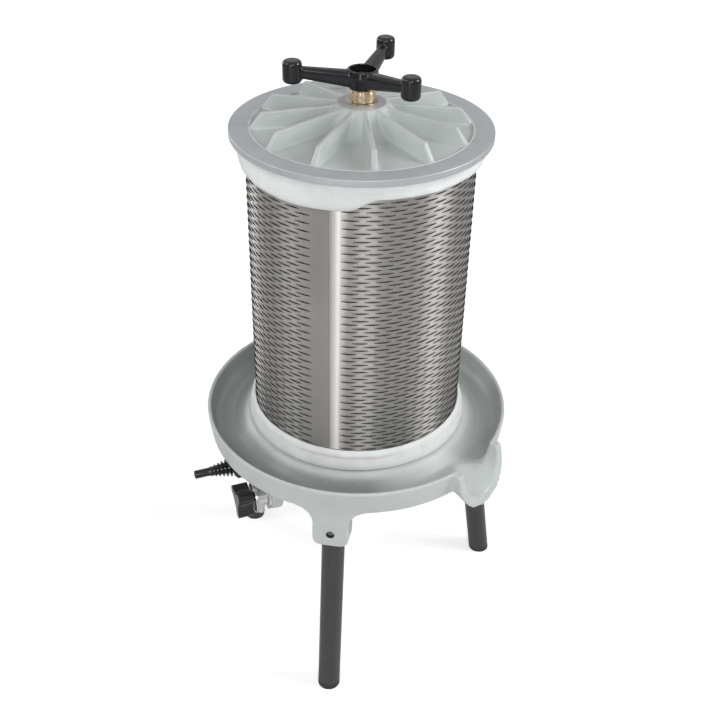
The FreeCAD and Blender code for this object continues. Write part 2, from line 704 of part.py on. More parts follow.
def make_top_cap():
    """Plate that closes the top of the bladder round the column."""
    low = BLADDER_TOP + SEAT_GAP
    high = low + TOP_CAP_THICKNESS
    inner = COLUMN_RADIUS + RUNNING_GAP
    return revolved([(inner, low, 0), (TOP_CAP_RADIUS, low, 0), (TOP_CAP_RADIUS, high, 2), (inner, high, 0)])


def make_top_nut():
    """Thin nut that holds the bladder's top cap."""
    low = BLADDER_TOP + SEAT_GAP + TOP_CAP_THICKNESS
    nut = hexagon(TOP_NUT_RADIUS, low, low + TOP_NUT_HEIGHT)
    return nut.cut(cylinder(COLUMN_RADIUS + RUNNING_GAP, low - 1, low + TOP_NUT_HEIGHT + 1))


def make_pipe(start, end):
    """Straight threaded nipple between two branch points."""
    return on_branch(rod(PIPE_RADIUS, start, end).cut(rod(PIPE_BORE, start, end)))


def make_inlet_pipe():
    """Pipe from the manifold to the tee."""
    start = MANIFOLD_PORT_REACH - PIPE_ENGAGEMENT
    end = TEE_DISTANCE - FITTING_REACH + PIPE_ENGAGEMENT - 1
    return make_pipe(branch_point(start + SEAT_GAP), branch_point(end))


def make_nozzle_pipe():
    """Pipe from the tee to the hose nozzle's nut."""
    start = TEE_DISTANCE + FITTING_REACH - PIPE_ENGAGEMENT + 1
    return make_pipe(branch_point(start), branch_point(NOZZLE_BASE + NOZZLE_NUT_LENGTH / 2))


def make_tap_pipe():
    """Pipe from the tee's side to the elbow."""
    start = FITTING_REACH - PIPE_ENGAGEMENT + 1
    end = TAP_OFFSET - ELBOW_REACH + PIPE_ENGAGEMENT - 1
    return make_pipe(branch_point(TEE_DISTANCE, start), branch_point(TEE_DISTANCE, end))


def make_tee():
    """Tee fitting with a side outlet towards the tap."""
    left = branch_point(TEE_DISTANCE - FITTING_REACH)
    right = branch_point(TEE_DISTANCE + FITTING_REACH)
    side = branch_point(TEE_DISTANCE, FITTING_REACH)
    centre = branch_point(TEE_DISTANCE)
    reach = PIPE_ENGAGEMENT
    body = rod(FITTING_RADIUS, left, right).fuse(rod(FITTING_RADIUS - FITTING_STEP, centre, side))
    clear = PIPE_RADIUS + RUNNING_GAP
    cuts = [
        rod(PIPE_BORE, left, right),
        rod(PIPE_BORE - FITTING_STEP, centre, side),
        rod(clear, left, branch_point(TEE_DISTANCE - FITTING_REACH + reach)),
        rod(clear, branch_point(TEE_DISTANCE + FITTING_REACH - reach), right),
        rod(clear, branch_point(TEE_DISTANCE, FITTING_REACH - reach), side),
    ]
    return on_branch(body.cut(cuts).removeSplitter())


def make_elbow():
    """Elbow fitting that turns the side pipe outwards to the tap."""
    inlet = branch_point(TEE_DISTANCE, TAP_OFFSET - ELBOW_REACH)
    bend_start = branch_point(TEE_DISTANCE, TAP_OFFSET - ELBOW_BEND)
    bend_end = branch_point(TEE_DISTANCE + ELBOW_BEND, TAP_OFFSET)
    outlet = branch_point(TEE_DISTANCE + ELBOW_REACH, TAP_OFFSET)
    pivot = branch_point(TEE_DISTANCE + ELBOW_BEND, TAP_OFFSET - ELBOW_BEND)

    def bent_rod(radius):
        ring = Part.Wire([Part.makeCircle(radius, bend_start, vector(0, 1, 0))])
        bend = Part.Face(ring).revolve(pivot, UP, -90)
        return rod(radius, inlet, bend_start).fuse(bend).fuse(rod(radius, bend_end, outlet))

    clear = PIPE_RADIUS + RUNNING_GAP
    inlet_seat = branch_point(TEE_DISTANCE, TAP_OFFSET - ELBOW_REACH + PIPE_ENGAGEMENT)
    outlet_seat = branch_point(TEE_DISTANCE + ELBOW_REACH - PIPE_ENGAGEMENT, TAP_OFFSET)
    body = bent_rod(FITTING_RADIUS).removeSplitter().cut(bent_rod(PIPE_BORE).removeSplitter())
    return on_branch(body.cut(rod(clear, inlet, inlet_seat)).cut(rod(clear, outlet_seat, outlet)))


def make_hose_nozzle():
    """Stepped hose nozzle: a plain tip and a row of growing fins."""
    corners = [(NOZZLE_BORE, NOZZLE_TIP, 0), (NOZZLE_TIP_RADIUS, NOZZLE_TIP, 0.8)]
    start = NOZZLE_TIP - NOZZLE_TIP_LENGTH
    growth = (NOZZLE_LAST_FIN - NOZZLE_FIRST_FIN) / (NOZZLE_FIN_COUNT - 1)
    for fin in range(NOZZLE_FIN_COUNT):
        outside = start - fin * NOZZLE_FIN_PITCH
        inside = outside - NOZZLE_FIN_THICKNESS
        core_before = NOZZLE_TIP_RADIUS + fin * NOZZLE_CORE_GROWTH
        core_after = core_before + NOZZLE_CORE_GROWTH
        edge = NOZZLE_FIRST_FIN + fin * growth
        corners += [(core_before, outside, 0), (edge, outside, 0), (edge, inside, 0), (core_after, inside, 0)]
    foot = start - NOZZLE_FIN_COUNT * NOZZLE_FIN_PITCH
    neck = NOZZLE_TIP_RADIUS + NOZZLE_FIN_COUNT * NOZZLE_CORE_GROWTH
    shoulder = foot - NOZZLE_NUT_LENGTH / 2 + 1
    corners += [(neck, shoulder, 0), (NOZZLE_BORE, shoulder, 0)]
    nozzle = revolved(corners)
    nozzle.rotate(ORIGIN, vector(0, 1, 0), 90)
    nozzle.translate(vector(0, 0, BRANCH_HEIGHT))
    return on_branch(nozzle)


def make_nozzle_nut():
    """Hexagon union nut that holds the nozzle on its pipe."""
    low = NOZZLE_BASE
    high = low + NOZZLE_NUT_LENGTH
    nut = hexagon(NOZZLE_NUT_RADIUS, low, high)
    neck = NOZZLE_TIP_RADIUS + NOZZLE_FIN_COUNT * NOZZLE_CORE_GROWTH + RUNNING_GAP
    nut = nut.cut(cylinder(neck, low - 1, high + 1))
    nut = nut.cut(cylinder(PIPE_RADIUS + RUNNING_GAP, low - 1, low + NOZZLE_NUT_LENGTH / 2 + SEAT_GAP))
    nut.rotate(ORIGIN, vector(0, 1, 0), 90)
    nut.translate(vector(0, 0, BRANCH_HEIGHT))
    return on_branch(nut)


def make_tap_body():
    """Chromed tap body with its shank and a spout that points down."""
    shank_start = TEE_DISTANCE + ELBOW_REACH - PIPE_ENGAGEMENT + SEAT_GAP
    body_start = TAP_BODY_START
    body_end = TAP_BODY_END
    outlet_x = (body_start + body_end) / 2
    shank = rod(PIPE_RADIUS, branch_point(shank_start, TAP_OFFSET), branch_point(body_start, TAP_OFFSET))
    barrel = rod(TAP_BODY_RADIUS, branch_point(body_start, TAP_OFFSET), branch_point(body_end, TAP_OFFSET))
    centre = branch_point(outlet_x, TAP_OFFSET)
    mouth = branch_point(outlet_x, TAP_OFFSET, -TAP_OUTLET_LENGTH)
    collar_end = branch_point(outlet_x, TAP_OFFSET, -TAP_COLLAR_LENGTH)
    outlet = rod(TAP_OUTLET_RADIUS, centre, mouth).fuse(rod(TAP_COLLAR_RADIUS, centre, collar_end))
    passage_end = body_end - SPINDLE_DEPTH - 1
    cuts = [
        rod(PIPE_BORE - 1, branch_point(shank_start - 1, TAP_OFFSET), branch_point(passage_end, TAP_OFFSET)),
        rod(TAP_OUTLET_BORE, branch_point(outlet_x, TAP_OFFSET, -TAP_BODY_RADIUS + 4), mouth),
        rod(
            SPINDLE_RADIUS + RUNNING_GAP,
            branch_point(passage_end, TAP_OFFSET),
            branch_point(body_end + 1, TAP_OFFSET),
        ),
    ]
    body = shank.fuse(barrel).fuse(outlet)
    return on_branch(body.cut(cuts).removeSplitter())


def make_lock_nut():
    """Chromed ring nut between lug and tap body."""
    start = branch_point(LUG_END + SEAT_GAP / 2, TAP_OFFSET)
    end = branch_point(LUG_END + SEAT_GAP / 2 + LOCK_NUT_THICKNESS, TAP_OFFSET)
    return on_branch(rod(LOCK_NUT_RADIUS, start, end).cut(rod(PIPE_RADIUS + RUNNING_GAP, start, end)))


def make_bonnet():
    """Chromed collar in front of the tap body."""
    low = TAP_BODY_END
    high = low + BONNET_THICKNESS
    inner = SPINDLE_RADIUS + RUNNING_GAP
    ring = revolved(
        [(inner, low, 0), (BONNET_RADIUS, low, 0), (BONNET_RADIUS, high, 1.5), (inner, high, 0)]
    )
    ring.rotate(ORIGIN, vector(0, 1, 0), 90)
    ring.translate(branch_point(0, TAP_OFFSET))
    return on_branch(ring)


def make_spindle():
    """Tap spindle between body and knob."""
    start = branch_point(TAP_BODY_END - SPINDLE_DEPTH, TAP_OFFSET)
    end = branch_point(KNOB_START + KNOB_DEPTH - KNOB_SCREW_DEPTH - 2, TAP_OFFSET)
    return on_branch(rod(SPINDLE_RADIUS, start, end))


def make_tap_knob():
    """Three-lobed knob with hollowed flanks."""
    edges = []
    lobe_points = []
    spread = math.radians(KNOB_LOBE_SPREAD)
    for lobe in range(KNOB_LOBE_COUNT):
        middle = math.radians(KNOB_FIRST_LOBE + 360 * lobe / KNOB_LOBE_COUNT)
        centre = flat(KNOB_LOBE_CIRCLE * math.cos(middle), KNOB_LOBE_CIRCLE * math.sin(middle))
        ends = []
        for turn in (-spread, 0, spread):
            reach = vector(math.cos(middle + turn), math.sin(middle + turn), 0) * KNOB_LOBE_RADIUS
            ends.append(centre + reach)
        lobe_points.append(ends)
    for lobe in range(KNOB_LOBE_COUNT):
        start, top, end = lobe_points[lobe]
        edges.append(Part.Arc(start, top, end).toShape())
        following = lobe_points[(lobe + 1) % KNOB_LOBE_COUNT][0]
        chord = following - end
        middle = (following + end) * 0.5
        inward = (middle * -1.0).normalize()
        sag = KNOB_FLANK_RADIUS - math.sqrt(KNOB_FLANK_RADIUS ** 2 - (chord.Length / 2) ** 2)
        edges.append(Part.Arc(end, middle + inward * sag, following).toShape())
    knob = Part.Face(Part.Wire(edges)).extrude(vector(0, 0, KNOB_DEPTH))
    knob = knob.cut(cylinder(SPINDLE_RADIUS + RUNNING_GAP, -1, KNOB_DEPTH - KNOB_SCREW_DEPTH - 2))
    knob = knob.cut(cylinder(KNOB_SCREW_RADIUS + RUNNING_GAP, KNOB_DEPTH - KNOB_SCREW_DEPTH, KNOB_DEPTH + 1))
    knob.rotate(ORIGIN, vector(0, 1, 0), 90)
    knob.translate(branch_point(KNOB_START, TAP_OFFSET))
    return on_branch(knob)


def make_knob_screw():
    """Screw in the face of the tap knob."""
    end = KNOB_START + KNOB_DEPTH
    start = branch_point(end - KNOB_SCREW_DEPTH + RUNNING_GAP, TAP_OFFSET)
    return on_branch(rod(KNOB_SCREW_RADIUS, start, branch_point(end - 0.5, TAP_OFFSET)))


def make_cage():
    """Pressing cage: a tall stainless cylinder with a wired edge at each end."""
    sheet = cylinder(CAGE_RADIUS, CAGE_BOTTOM, CAGE_TOP)
    sheet = sheet.cut(cylinder(CAGE_RADIUS - CAGE_SHEET, CAGE_BOTTOM - 1, CAGE_TOP + 1))
    low_wire = Part.makeTorus(CAGE_HOOP_RADIUS, CAGE_WIRE_RADIUS, vector(0, 0, CAGE_BOTTOM + CAGE_WIRE_RADIUS))
    high_wire = Part.makeTorus(CAGE_HOOP_RADIUS, CAGE_WIRE_RADIUS, vector(0, 0, CAGE_TOP - CAGE_WIRE_RADIUS))
    return sheet.fuse(low_wire).fuse(high_wire)


def make_press_cloth():
    """Cloth sleeve inside the cage, folded out over its top and turned up round its foot."""
    inner = CLOTH_INNER
    outer = CLOTH_OUTER
    thick = CLOTH_THICKNESS
    hem = CAGE_RADIUS + SEAT_GAP
    wire_zone = 2 * CAGE_WIRE_RADIUS + thick
    low_hem = CLOTH_LOW + CLOTH_BOTTOM_TURN
    high_hem = CLOTH_HIGH - CLOTH_TOP_HANG
    low_knee = CLOTH_LOW + wire_zone
    high_knee = CLOTH_HIGH - wire_zone
    corners = [
        (inner, CLOTH_LOW, 1.5),
        (outer, CLOTH_LOW, 3),
        (outer, low_knee, 3),
        (hem + thick, low_knee + CLOTH_NECK_HEIGHT, 3),
        (hem + thick, low_hem, 0),
        (hem, low_hem, 0),
        (hem, low_knee + CLOTH_NECK_HEIGHT, 2),
        (outer - thick, low_knee, 2),
        (outer - thick, CLOTH_LOW + thick, 1.5),
        (inner + thick, CLOTH_LOW + thick, 0.2),
        (inner + thick, CLOTH_HIGH - thick, 0.2),
        (outer - thick, CLOTH_HIGH - thick, 1.5),
        (outer - thick, high_knee, 2),
        (hem, high_knee - CLOTH_NECK_HEIGHT, 2),
        (hem, high_hem, 0),
        (hem + thick, high_hem, 0),
        (hem + thick, high_knee - CLOTH_NECK_HEIGHT, 3),
        (outer, high_knee, 3),
        (outer, CLOTH_HIGH, 3),
        (inner, CLOTH_HIGH, 1.5),
    ]
    return revolved(corners)


def make_drawstring():
    """Drawn cord round the turned-up hem of the press cloth."""
    radius = CAGE_RADIUS + SEAT_GAP + CLOTH_THICKNESS + SEAT_GAP + DRAWSTRING_RADIUS
    height = CLOTH_LOW + CLOTH_BOTTOM_TURN - 2 * DRAWSTRING_RADIUS
    return Part.makeTorus(radius, DRAWSTRING_RADIUS, vector(0, 0, height))


def lid_flank_corners():
    """Upper outline of the lid from the rim to the hub, without the ribs."""
    return [
        (LID_RADIUS, LID_RIM_UNDERSIDE, 2),
        (LID_RADIUS, LID_RIM_TOP, 1.5),
        (LID_PANEL_RADIUS, LID_RIM_TOP, 1),
        (LID_PANEL_RADIUS - 1.5, LID_PANEL_Z, 2),
        (LID_HUB_RADIUS + LID_HUB_FOOT, LID_PANEL_Z + 4, 30),
        (LID_HUB_RADIUS, LID_HUB_TOP, 2),
    ]


def make_lid_shell():
    """Turned body of the lid: flat rim, dished panel, raised hub and a locating ring below."""
    bore = COLUMN_RADIUS + LOOSE_GAP
    under = LID_PANEL_Z - LID_WALL
    spigot_low = LID_RIM_UNDERSIDE - LID_SPIGOT_DEPTH
    corners = lid_flank_corners() + [
        (bore, LID_HUB_TOP, 0),
        (bore, under, 0),
        (bore + LID_WALL, under, 2),
        (LID_HUB_RADIUS - LID_WALL, LID_HUB_TOP - 2 * LID_WALL, 3),
        (LID_HUB_RADIUS + LID_HUB_FOOT - LID_WALL, under, 20),
        (LID_SPIGOT_RADIUS - LID_SPIGOT_WALL, under, 2),
        (LID_SPIGOT_RADIUS - LID_SPIGOT_WALL, spigot_low, 1),
        (LID_SPIGOT_RADIUS, spigot_low, 1),
        (LID_SPIGOT_RADIUS, LID_RIM_UNDERSIDE, 1),
    ]
    return revolved(corners)


def make_lid_rib():
    """One tapered rib along +X: it falls gently from the hub and then steeply to its toe."""
    foot = LID_PANEL_Z - 1
    start = COLUMN_RADIUS + LOOSE_GAP + 5
    shoulder = LID_PANEL_Z + LID_RIB_SHOULDER_HEIGHT
    corners = [
        (start, foot, 0),
        (LID_RIB_TOE_RADIUS, foot, 0),
        (LID_RIB_SHOULDER_RADIUS, shoulder, 12),
        (LID_HUB_RADIUS, LID_HUB_TOP - 1, 6),
        (start, LID_HUB_TOP - 1, 0),
    ]
    side = Part.Face(outline(corners, upright))
    side.translate(vector(0, -LID_RIB_FOOT_WIDTH / 2, 0))
    plate = side.extrude(vector(0, LID_RIB_FOOT_WIDTH, 0))
    slope_height = LID_HUB_TOP - foot
    half_foot = LID_RIB_FOOT_WIDTH / 2
    half_top = LID_RIB_TOP_WIDTH / 2
    section = Part.makePolygon(
        [
            vector(start, -half_foot, foot),
            vector(start, half_foot, foot),
            vector(start, half_top, foot + slope_height),
            vector(start, -half_top, foot + slope_height),
            vector(start, -half_foot, foot),
        ]
    )
    draft = Part.Face(section).extrude(vector(LID_RIB_TOE_RADIUS - start, 0, 0))
    return plate.common(draft)


def make_lid():
    """Cast lid with its ring of radial ribs."""
    ribs = around(make_lid_rib(), LID_RIB_COUNT, LID_RIB_START)
    return make_lid_shell().multiFuse(ribs).removeSplitter()


def make_thrust_washer():
    """Thin washer between lid hub and brass nut."""
    low = LID_HUB_TOP + SEAT_GAP / 2
    washer = cylinder(WASHER_RADIUS, low, low + WASHER_THICKNESS)
    return washer.cut(cylinder(COLUMN_RADIUS + SEAT_GAP, low - 1, low + WASHER_THICKNESS + 1))


def make_brass_nut():
    """Brass nut with the shank that the star handle is moulded on."""
    bore = COLUMN_RADIUS + RUNNING_GAP
    high = HANDLE_BOTTOM
    corners = [
        (bore, NUT_BOTTOM, 0.8),
        (NUT_RADIUS, NUT_BOTTOM, 1),
        (NUT_RADIUS, high - SEAT_GAP, 0),
        (NUT_SHANK_RADIUS, high - SEAT_GAP, 0),
        (NUT_SHANK_RADIUS, high + NUT_SHANK_LENGTH, 0.8),
        (bore, high + NUT_SHANK_LENGTH, 0.8),
    ]
    return revolved(corners)


def make_handle_arm():
    """One arm and its end knob along +X."""
    root_z = HANDLE_BOTTOM + HANDLE_HUB_HEIGHT / 2
    tip_z = root_z + ARM_RISE
    root = arm_section(HANDLE_HUB_FOOT_RADIUS - 2, root_z, ARM_ROOT_WIDTH, ARM_ROOT_HEIGHT)
    tip = arm_section(ARM_LENGTH, tip_z, ARM_TIP_WIDTH, ARM_TIP_HEIGHT)
    arm = Part.makeLoft([root, tip], True)
    knob = revolved(
        [
            (0, tip_z - KNOB_HEIGHT / 2, 0),
            (KNOB_RADIUS, tip_z - KNOB_HEIGHT / 2, KNOB_ROUND),
            (KNOB_RADIUS, tip_z + KNOB_HEIGHT / 2, KNOB_ROUND),
            (0, tip_z + KNOB_HEIGHT / 2, 0),
        ]
    )
    knob.translate(vector(ARM_LENGTH, 0, 0))
    return arm.fuse(knob)


def arm_section(distance, height, width, depth):
    """Rounded cross-section of a handle arm."""
    half_width = width / 2
    half_depth = depth / 2
    rounding = min(half_width, half_depth) * 0.7
    corners = [
        (-half_width, -half_depth, rounding),
        (half_width, -half_depth, rounding),
        (half_width, half_depth, rounding),
        (-half_width, half_depth, rounding),
    ]
    return outline(corners, lambda u, v: vector(distance, u, height + v))


def make_star_handle():
    """Three-armed handle with a cup-shaped hub."""
    top = HANDLE_BOTTOM + HANDLE_HUB_HEIGHT
    cup = top - HANDLE_CUP_DEPTH
    hub = revolved(
        [
            (0, HANDLE_BOTTOM, 0),
            (HANDLE_HUB_FOOT_RADIUS, HANDLE_BOTTOM, 2.5),
            (HANDLE_HUB_RADIUS, HANDLE_BOTTOM + HANDLE_HUB_HEIGHT * 0.6, 10),
            (HANDLE_HUB_RADIUS - 0.5, top, 1),
            (0, top, 0),
        ]
    )
    handle = hub.multiFuse(around(make_handle_arm(), HANDLE_ARM_COUNT, HANDLE_FIRST_ARM))
    cuts = [
        cylinder(HANDLE_CUP_RADIUS, cup, top + 10),
        cylinder(NUT_SHANK_RADIUS + RUNNING_GAP, HANDLE_BOTTOM - 1, cup + 1),
    ]
    return handle.cut(cuts).removeSplitter()


def make_parts():
    """Every sub-part by the name of its file."""
    parts = {"tray": make_tray()}
    for place in LEG_ANGLES:
        parts["leg_" + place] = make_leg(place)
        parts["foot_" + place] = make_foot(place)
    parts["leg_set_screws"] = Part.makeCompound([make_set_screw(place) for place in LEG_ANGLES])
    parts["inlet_manifold"] = make_manifold()
    parts["manifold_gasket"] = make_manifold_gasket()
    parts["manifold_bolts"] = make_manifold_bolts()
    parts["centre_column"] = make_column()
    parts["column_washer"] = make_column_washer()
    parts["column_nut"] = make_column_nut()
    parts["bladder"] = make_bladder_with_holes()
    parts["bladder_base_ring"] = make_base_ring()
    parts["bladder_ring_screws"] = make_base_ring_screws()
    parts["bladder_top_cap"] = make_top_cap()
    parts["bladder_top_nut"] = make_top_nut()
    parts["inlet_pipe"] = make_inlet_pipe()
    parts["pipe_tee"] = make_tee()
    parts["nozzle_pipe"] = make_nozzle_pipe()
    parts["nozzle_nut"] = make_nozzle_nut()
    parts["hose_nozzle"] = make_hose_nozzle()
    parts["tap_pipe"] = make_tap_pipe()
    parts["pipe_elbow"] = make_elbow()
    parts["tap_lock_nut"] = make_lock_nut()
    parts["tap_body"] = make_tap_body()
    parts["tap_bonnet"] = make_bonnet()
    parts["tap_spindle"] = make_spindle()
    parts["tap_knob"] = make_tap_knob()
    parts["tap_knob_screw"] = make_knob_screw()
    parts["cage"] = make_cage()
    parts["press_cloth"] = make_press_cloth()
    parts["cloth_drawstring"] = make_drawstring()
    parts["lid"] = make_lid()
    parts["thrust_washer"] = make_thrust_washer()
    parts["brass_nut"] = make_brass_nut()
    parts["star_handle"] = make_star_handle()
    return parts


def main():
    os.makedirs("parts", exist_ok=True)
    for name, shape in make_parts().items():
        box = shape.BoundBox
        print(name, len(shape.Solids), shape.isValid(), round(shape.Volume), round(box.ZMin, 2), round(box.ZMax, 2))
        shape.exportStep("parts/" + name + ".step")


if __name__ == "__main__":
    main()
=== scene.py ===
"""Bladder fruit press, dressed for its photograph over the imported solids."""

import logging
import math
from collections.abc import Callable, Sequence
from dataclasses import dataclass, field
from enum import Enum

import bpy
import numpy as np
from mathutils import Matrix, Vector


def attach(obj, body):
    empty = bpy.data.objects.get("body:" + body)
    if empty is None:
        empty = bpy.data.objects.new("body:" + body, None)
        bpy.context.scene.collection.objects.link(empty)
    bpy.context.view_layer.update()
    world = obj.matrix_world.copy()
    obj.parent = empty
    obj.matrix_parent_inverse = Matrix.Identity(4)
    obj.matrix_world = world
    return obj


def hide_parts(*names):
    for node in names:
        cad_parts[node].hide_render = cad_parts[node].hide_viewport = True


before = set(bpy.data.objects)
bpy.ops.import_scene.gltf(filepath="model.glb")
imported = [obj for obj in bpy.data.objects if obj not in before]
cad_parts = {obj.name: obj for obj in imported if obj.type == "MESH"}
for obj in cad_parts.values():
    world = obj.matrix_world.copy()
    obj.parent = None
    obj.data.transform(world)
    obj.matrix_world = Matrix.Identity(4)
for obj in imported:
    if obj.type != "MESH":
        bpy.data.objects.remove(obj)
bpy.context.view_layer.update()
MM = 0.001
FRONT = -141.0
Thing = bpy.types.Object
Point = tuple[float, float, float]
Socket = bpy.types.NodeSocket
Inputs = dict[object, object]
log = logging.getLogger("press")


class Body(Enum):
    """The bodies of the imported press."""

    BASE = "base"
    CAGE = "cage"
    LID = "lid"
    WASHER = "washer"
    HANDLE = "handle"
    TAP = "tap_handle"


class Slot(Enum):
    """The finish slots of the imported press."""

    CAST_PAINT = "cast_paint"
    LEG_PAINT = "leg_paint"
    BLACK_PLASTIC = "black_plastic"
    FOOT_PLASTIC = "foot_plastic"
    STAINLESS = "stainless"
    ZINC = "zinc_steel"
    CHROME = "chrome"
    BRASS = "brass"
    FITTING_BRASS = "fitting_brass"
    RUBBER = "rubber"
    CLOTH = "cloth"


class Bench:
    """The modelling bench: Blender's tools, each called with a known selection."""

    @staticmethod
    def clear() -> None:
        """Leaves object mode with nothing selected."""
        if bpy.context.mode != "OBJECT":
            bpy.ops.object.mode_set(mode="OBJECT")
        bpy.ops.object.select_all(action="DESELECT")

    @staticmethod
    def pick(*things: Thing) -> Thing:
        """Selects only these pieces, the first one active."""
        Bench.clear()
        for thing in things:
            thing.select_set(True)
        bpy.context.view_layer.objects.active = things[0]
        return things[0]

    @staticmethod
    def settle(thing: Thing) -> Thing:
        """Moves a piece's place, turn and size into its mesh."""
        Bench.pick(thing)
        bpy.ops.object.transform_apply(location=True, rotation=True, scale=True)
        return thing

    @staticmethod
    def added(name: str) -> Thing:
        """Names the primitive that was just added and settles it."""
        thing = bpy.context.object
        thing.name = name
        return Bench.settle(thing)

    @staticmethod
    def place(thing: Thing, matrix: Matrix) -> Thing:
        """Puts a piece where a matrix says, in its mesh."""
        thing.matrix_world = matrix
        bpy.context.view_layer.update()
        return Bench.settle(thing)

    @staticmethod
    def modify(thing: Thing, kind: str, **settings: object) -> Thing:
        """Adds one modifier and applies it.

        Args:
            thing: The piece.
            kind: The modifier's type.
            **settings: Its properties.

        Returns:
            The piece.
        """
        step = thing.modifiers.new("step", kind)
        for key, value in settings.items():
            setattr(step, key, value)
        Bench.pick(thing)
        bpy.ops.object.modifier_apply(modifier=step.name)
        return thing

    @staticmethod
    def repeat(thing: Thing, count: int, by: Point) -> Thing:
        """Lays copies of a piece in a row, each shifted by millimetres."""
        step = tuple(value * MM for value in by)
        constant = {"use_constant_offset": True, "constant_offset_displace": step}
        return Bench.modify(thing, "ARRAY", count=count, use_relative_offset=False, **constant)

    @staticmethod
    def merge(thing: Thing, gap: float = 1e-6, outward: bool = False) -> Thing:
        """Merges doubled points.

        Args:
            thing: The piece.
            gap: Points nearer than this become one.
            outward: Whether all faces are then turned outwards.

        Returns:
            The piece.
        """
        Bench.pick(thing)
        bpy.ops.object.mode_set(mode="EDIT")
        bpy.ops.mesh.select_mode(type="VERT")
        bpy.ops.mesh.select_all(action="SELECT")
        bpy.ops.mesh.remove_doubles(threshold=gap)
        if outward:
            bpy.ops.mesh.normals_make_consistent(inside=False)
        bpy.ops.object.mode_set(mode="OBJECT")
        return thing

    @staticmethod
    def node_copy(name: str, *nodes: str) -> Thing:
        """Copies CAD nodes into one merged piece.

        Args:
            name: The piece's name.
            *nodes: The CAD nodes.

        Returns:
            The piece.
        """
        copies = []
        for node in nodes:
            copy = bpy.data.objects.new(name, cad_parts[node].data.copy())
            copy.data.materials.clear()
            bpy.context.scene.collection.objects.link(copy)
            copies.append(copy)
        return Bench.merge(Bench.joined(name, *copies))

    @staticmethod
    def joined(name: str, *things: Thing) -> Thing:
        """Joins pieces into the first one."""
        Bench.pick(*things)
        if len(things) > 1:
            bpy.ops.object.join()
        things[0].name = name
        return things[0]

    @staticmethod
    def select(thing: Thing, test: Callable[[np.ndarray], np.ndarray], what: str = "VERT") -> None:
        """Goes to edit mode with the vertices, edges or faces chosen by place.

        Args:
            thing: The piece.
            test: Takes the points or face centres, in mm, and gives a mask.
            what: VERT, EDGE or FACE. An edge is chosen by both its ends.
        """
        Bench.pick(thing)
        bpy.ops.object.mode_set(mode="EDIT")
        bpy.ops.mesh.select_mode(type=what)
        bpy.ops.mesh.select_all(action="DESELECT")
        bpy.ops.object.mode_set(mode="OBJECT")
        mesh = thing.data
        if what == "FACE":
            spots = np.zeros(len(mesh.polygons) * 3)
            mesh.polygons.foreach_get("center", spots)
            mask = test(spots.reshape(-1, 3) / MM)
            mesh.polygons.foreach_set("select", mask.astype(bool))
        else:
            mask = test(Bench.points(thing))
            mesh.vertices.foreach_set("select", mask.astype(bool))
            if what == "EDGE":
                ends = np.zeros(len(mesh.edges) * 2, int)
                mesh.edges.foreach_get("vertices", ends)
                mesh.edges.foreach_set("select", mask[ends.reshape(-1, 2)].all(axis=1))
        bpy.ops.object.mode_set(mode="EDIT")

    @staticmethod
    def shift(thing: Thing, test: Callable[[np.ndarray], np.ndarray], by: Point) -> None:
        """Moves the vertices that a test picks, by millimetres."""
        Bench.select(thing, test)
        bpy.ops.transform.translate(value=[step * MM for step in by])
        bpy.ops.object.mode_set(mode="OBJECT")

    @staticmethod
    def drop_faces(thing: Thing, test: Callable[[np.ndarray], np.ndarray]) -> None:
        """Deletes the faces whose centres a test picks."""
        Bench.select(thing, test, "FACE")
        bpy.ops.mesh.delete(type="FACE")
        bpy.ops.object.mode_set(mode="OBJECT")

    @staticmethod
    def pull_edges(thing: Thing, test: Callable[[np.ndarray], np.ndarray], by: Point) -> None:
        """Extrudes the edges whose ends a test picks, by millimetres."""
        Bench.select(thing, test, "EDGE")
        bpy.ops.mesh.extrude_region_move(TRANSFORM_OT_translate={"value": [step * MM for step in by]})
        bpy.ops.object.mode_set(mode="OBJECT")

    @staticmethod
    def points(thing: Thing) -> np.ndarray:
        """The piece's vertices in millimetres."""
        spots = np.zeros(len(thing.data.vertices) * 3)
        thing.data.vertices.foreach_get("co", spots)
        return spots.reshape(-1, 3) / MM

    @staticmethod
    def reshape(thing: Thing, spots: np.ndarray) -> Thing:
        """Gives the piece's vertices new places, in millimetres."""
        thing.data.vertices.foreach_set("co", (spots * MM).ravel())
        thing.data.update()
        return thing

    @staticmethod
    def lathe(name: str, outline: Sequence[Sequence[float]], steps: int = 96) -> Thing:
        """Turns an outline round the Z axis.

        Args:
            name: The piece's name.
            outline: Corners as (radius, height) or (radius, height, rounding), in mm.
            steps: How many steps make the full turn.

        Returns:
            The piece, with its doubles merged.
        """
        line = rounded(outline)
        Bench.clear()
        start = (line[0][0] * MM, 0, line[0][1] * MM)
        bpy.ops.mesh.primitive_plane_add(size=0.001, location=start)
        thing = Bench.added(name)
        bpy.ops.object.mode_set(mode="EDIT")
        bpy.ops.mesh.select_mode(type="VERT")
        bpy.ops.mesh.select_all(action="SELECT")
        bpy.ops.mesh.merge(type="CENTER")
        for (r0, z0), (r1, z1) in zip(line, line[1:]):
            step = ((r1 - r0) * MM, 0, (z1 - z0) * MM)
            bpy.ops.mesh.extrude_region_move(TRANSFORM_OT_translate={"value": step})
        bpy.ops.mesh.select_all(action="SELECT")
        bpy.ops.mesh.spin(steps=steps, angle=math.tau, center=(0, 0, 0), axis=(0, 0, 1))
        bpy.ops.object.mode_set(mode="OBJECT")
        return Bench.merge(thing, 2e-6)

    @staticmethod
    def turned(
        name: str, outline: Sequence[Sequence[float]], steps: int, place: Matrix | None = None
    ) -> Thing:
        """A finished turned piece, upright or laid where a matrix says."""
        thing = Bench.merge(Bench.lathe(name, outline, steps), outward=True)
        if place is not None:
            Bench.place(thing, place)
        return Bench.shade(thing, 40)

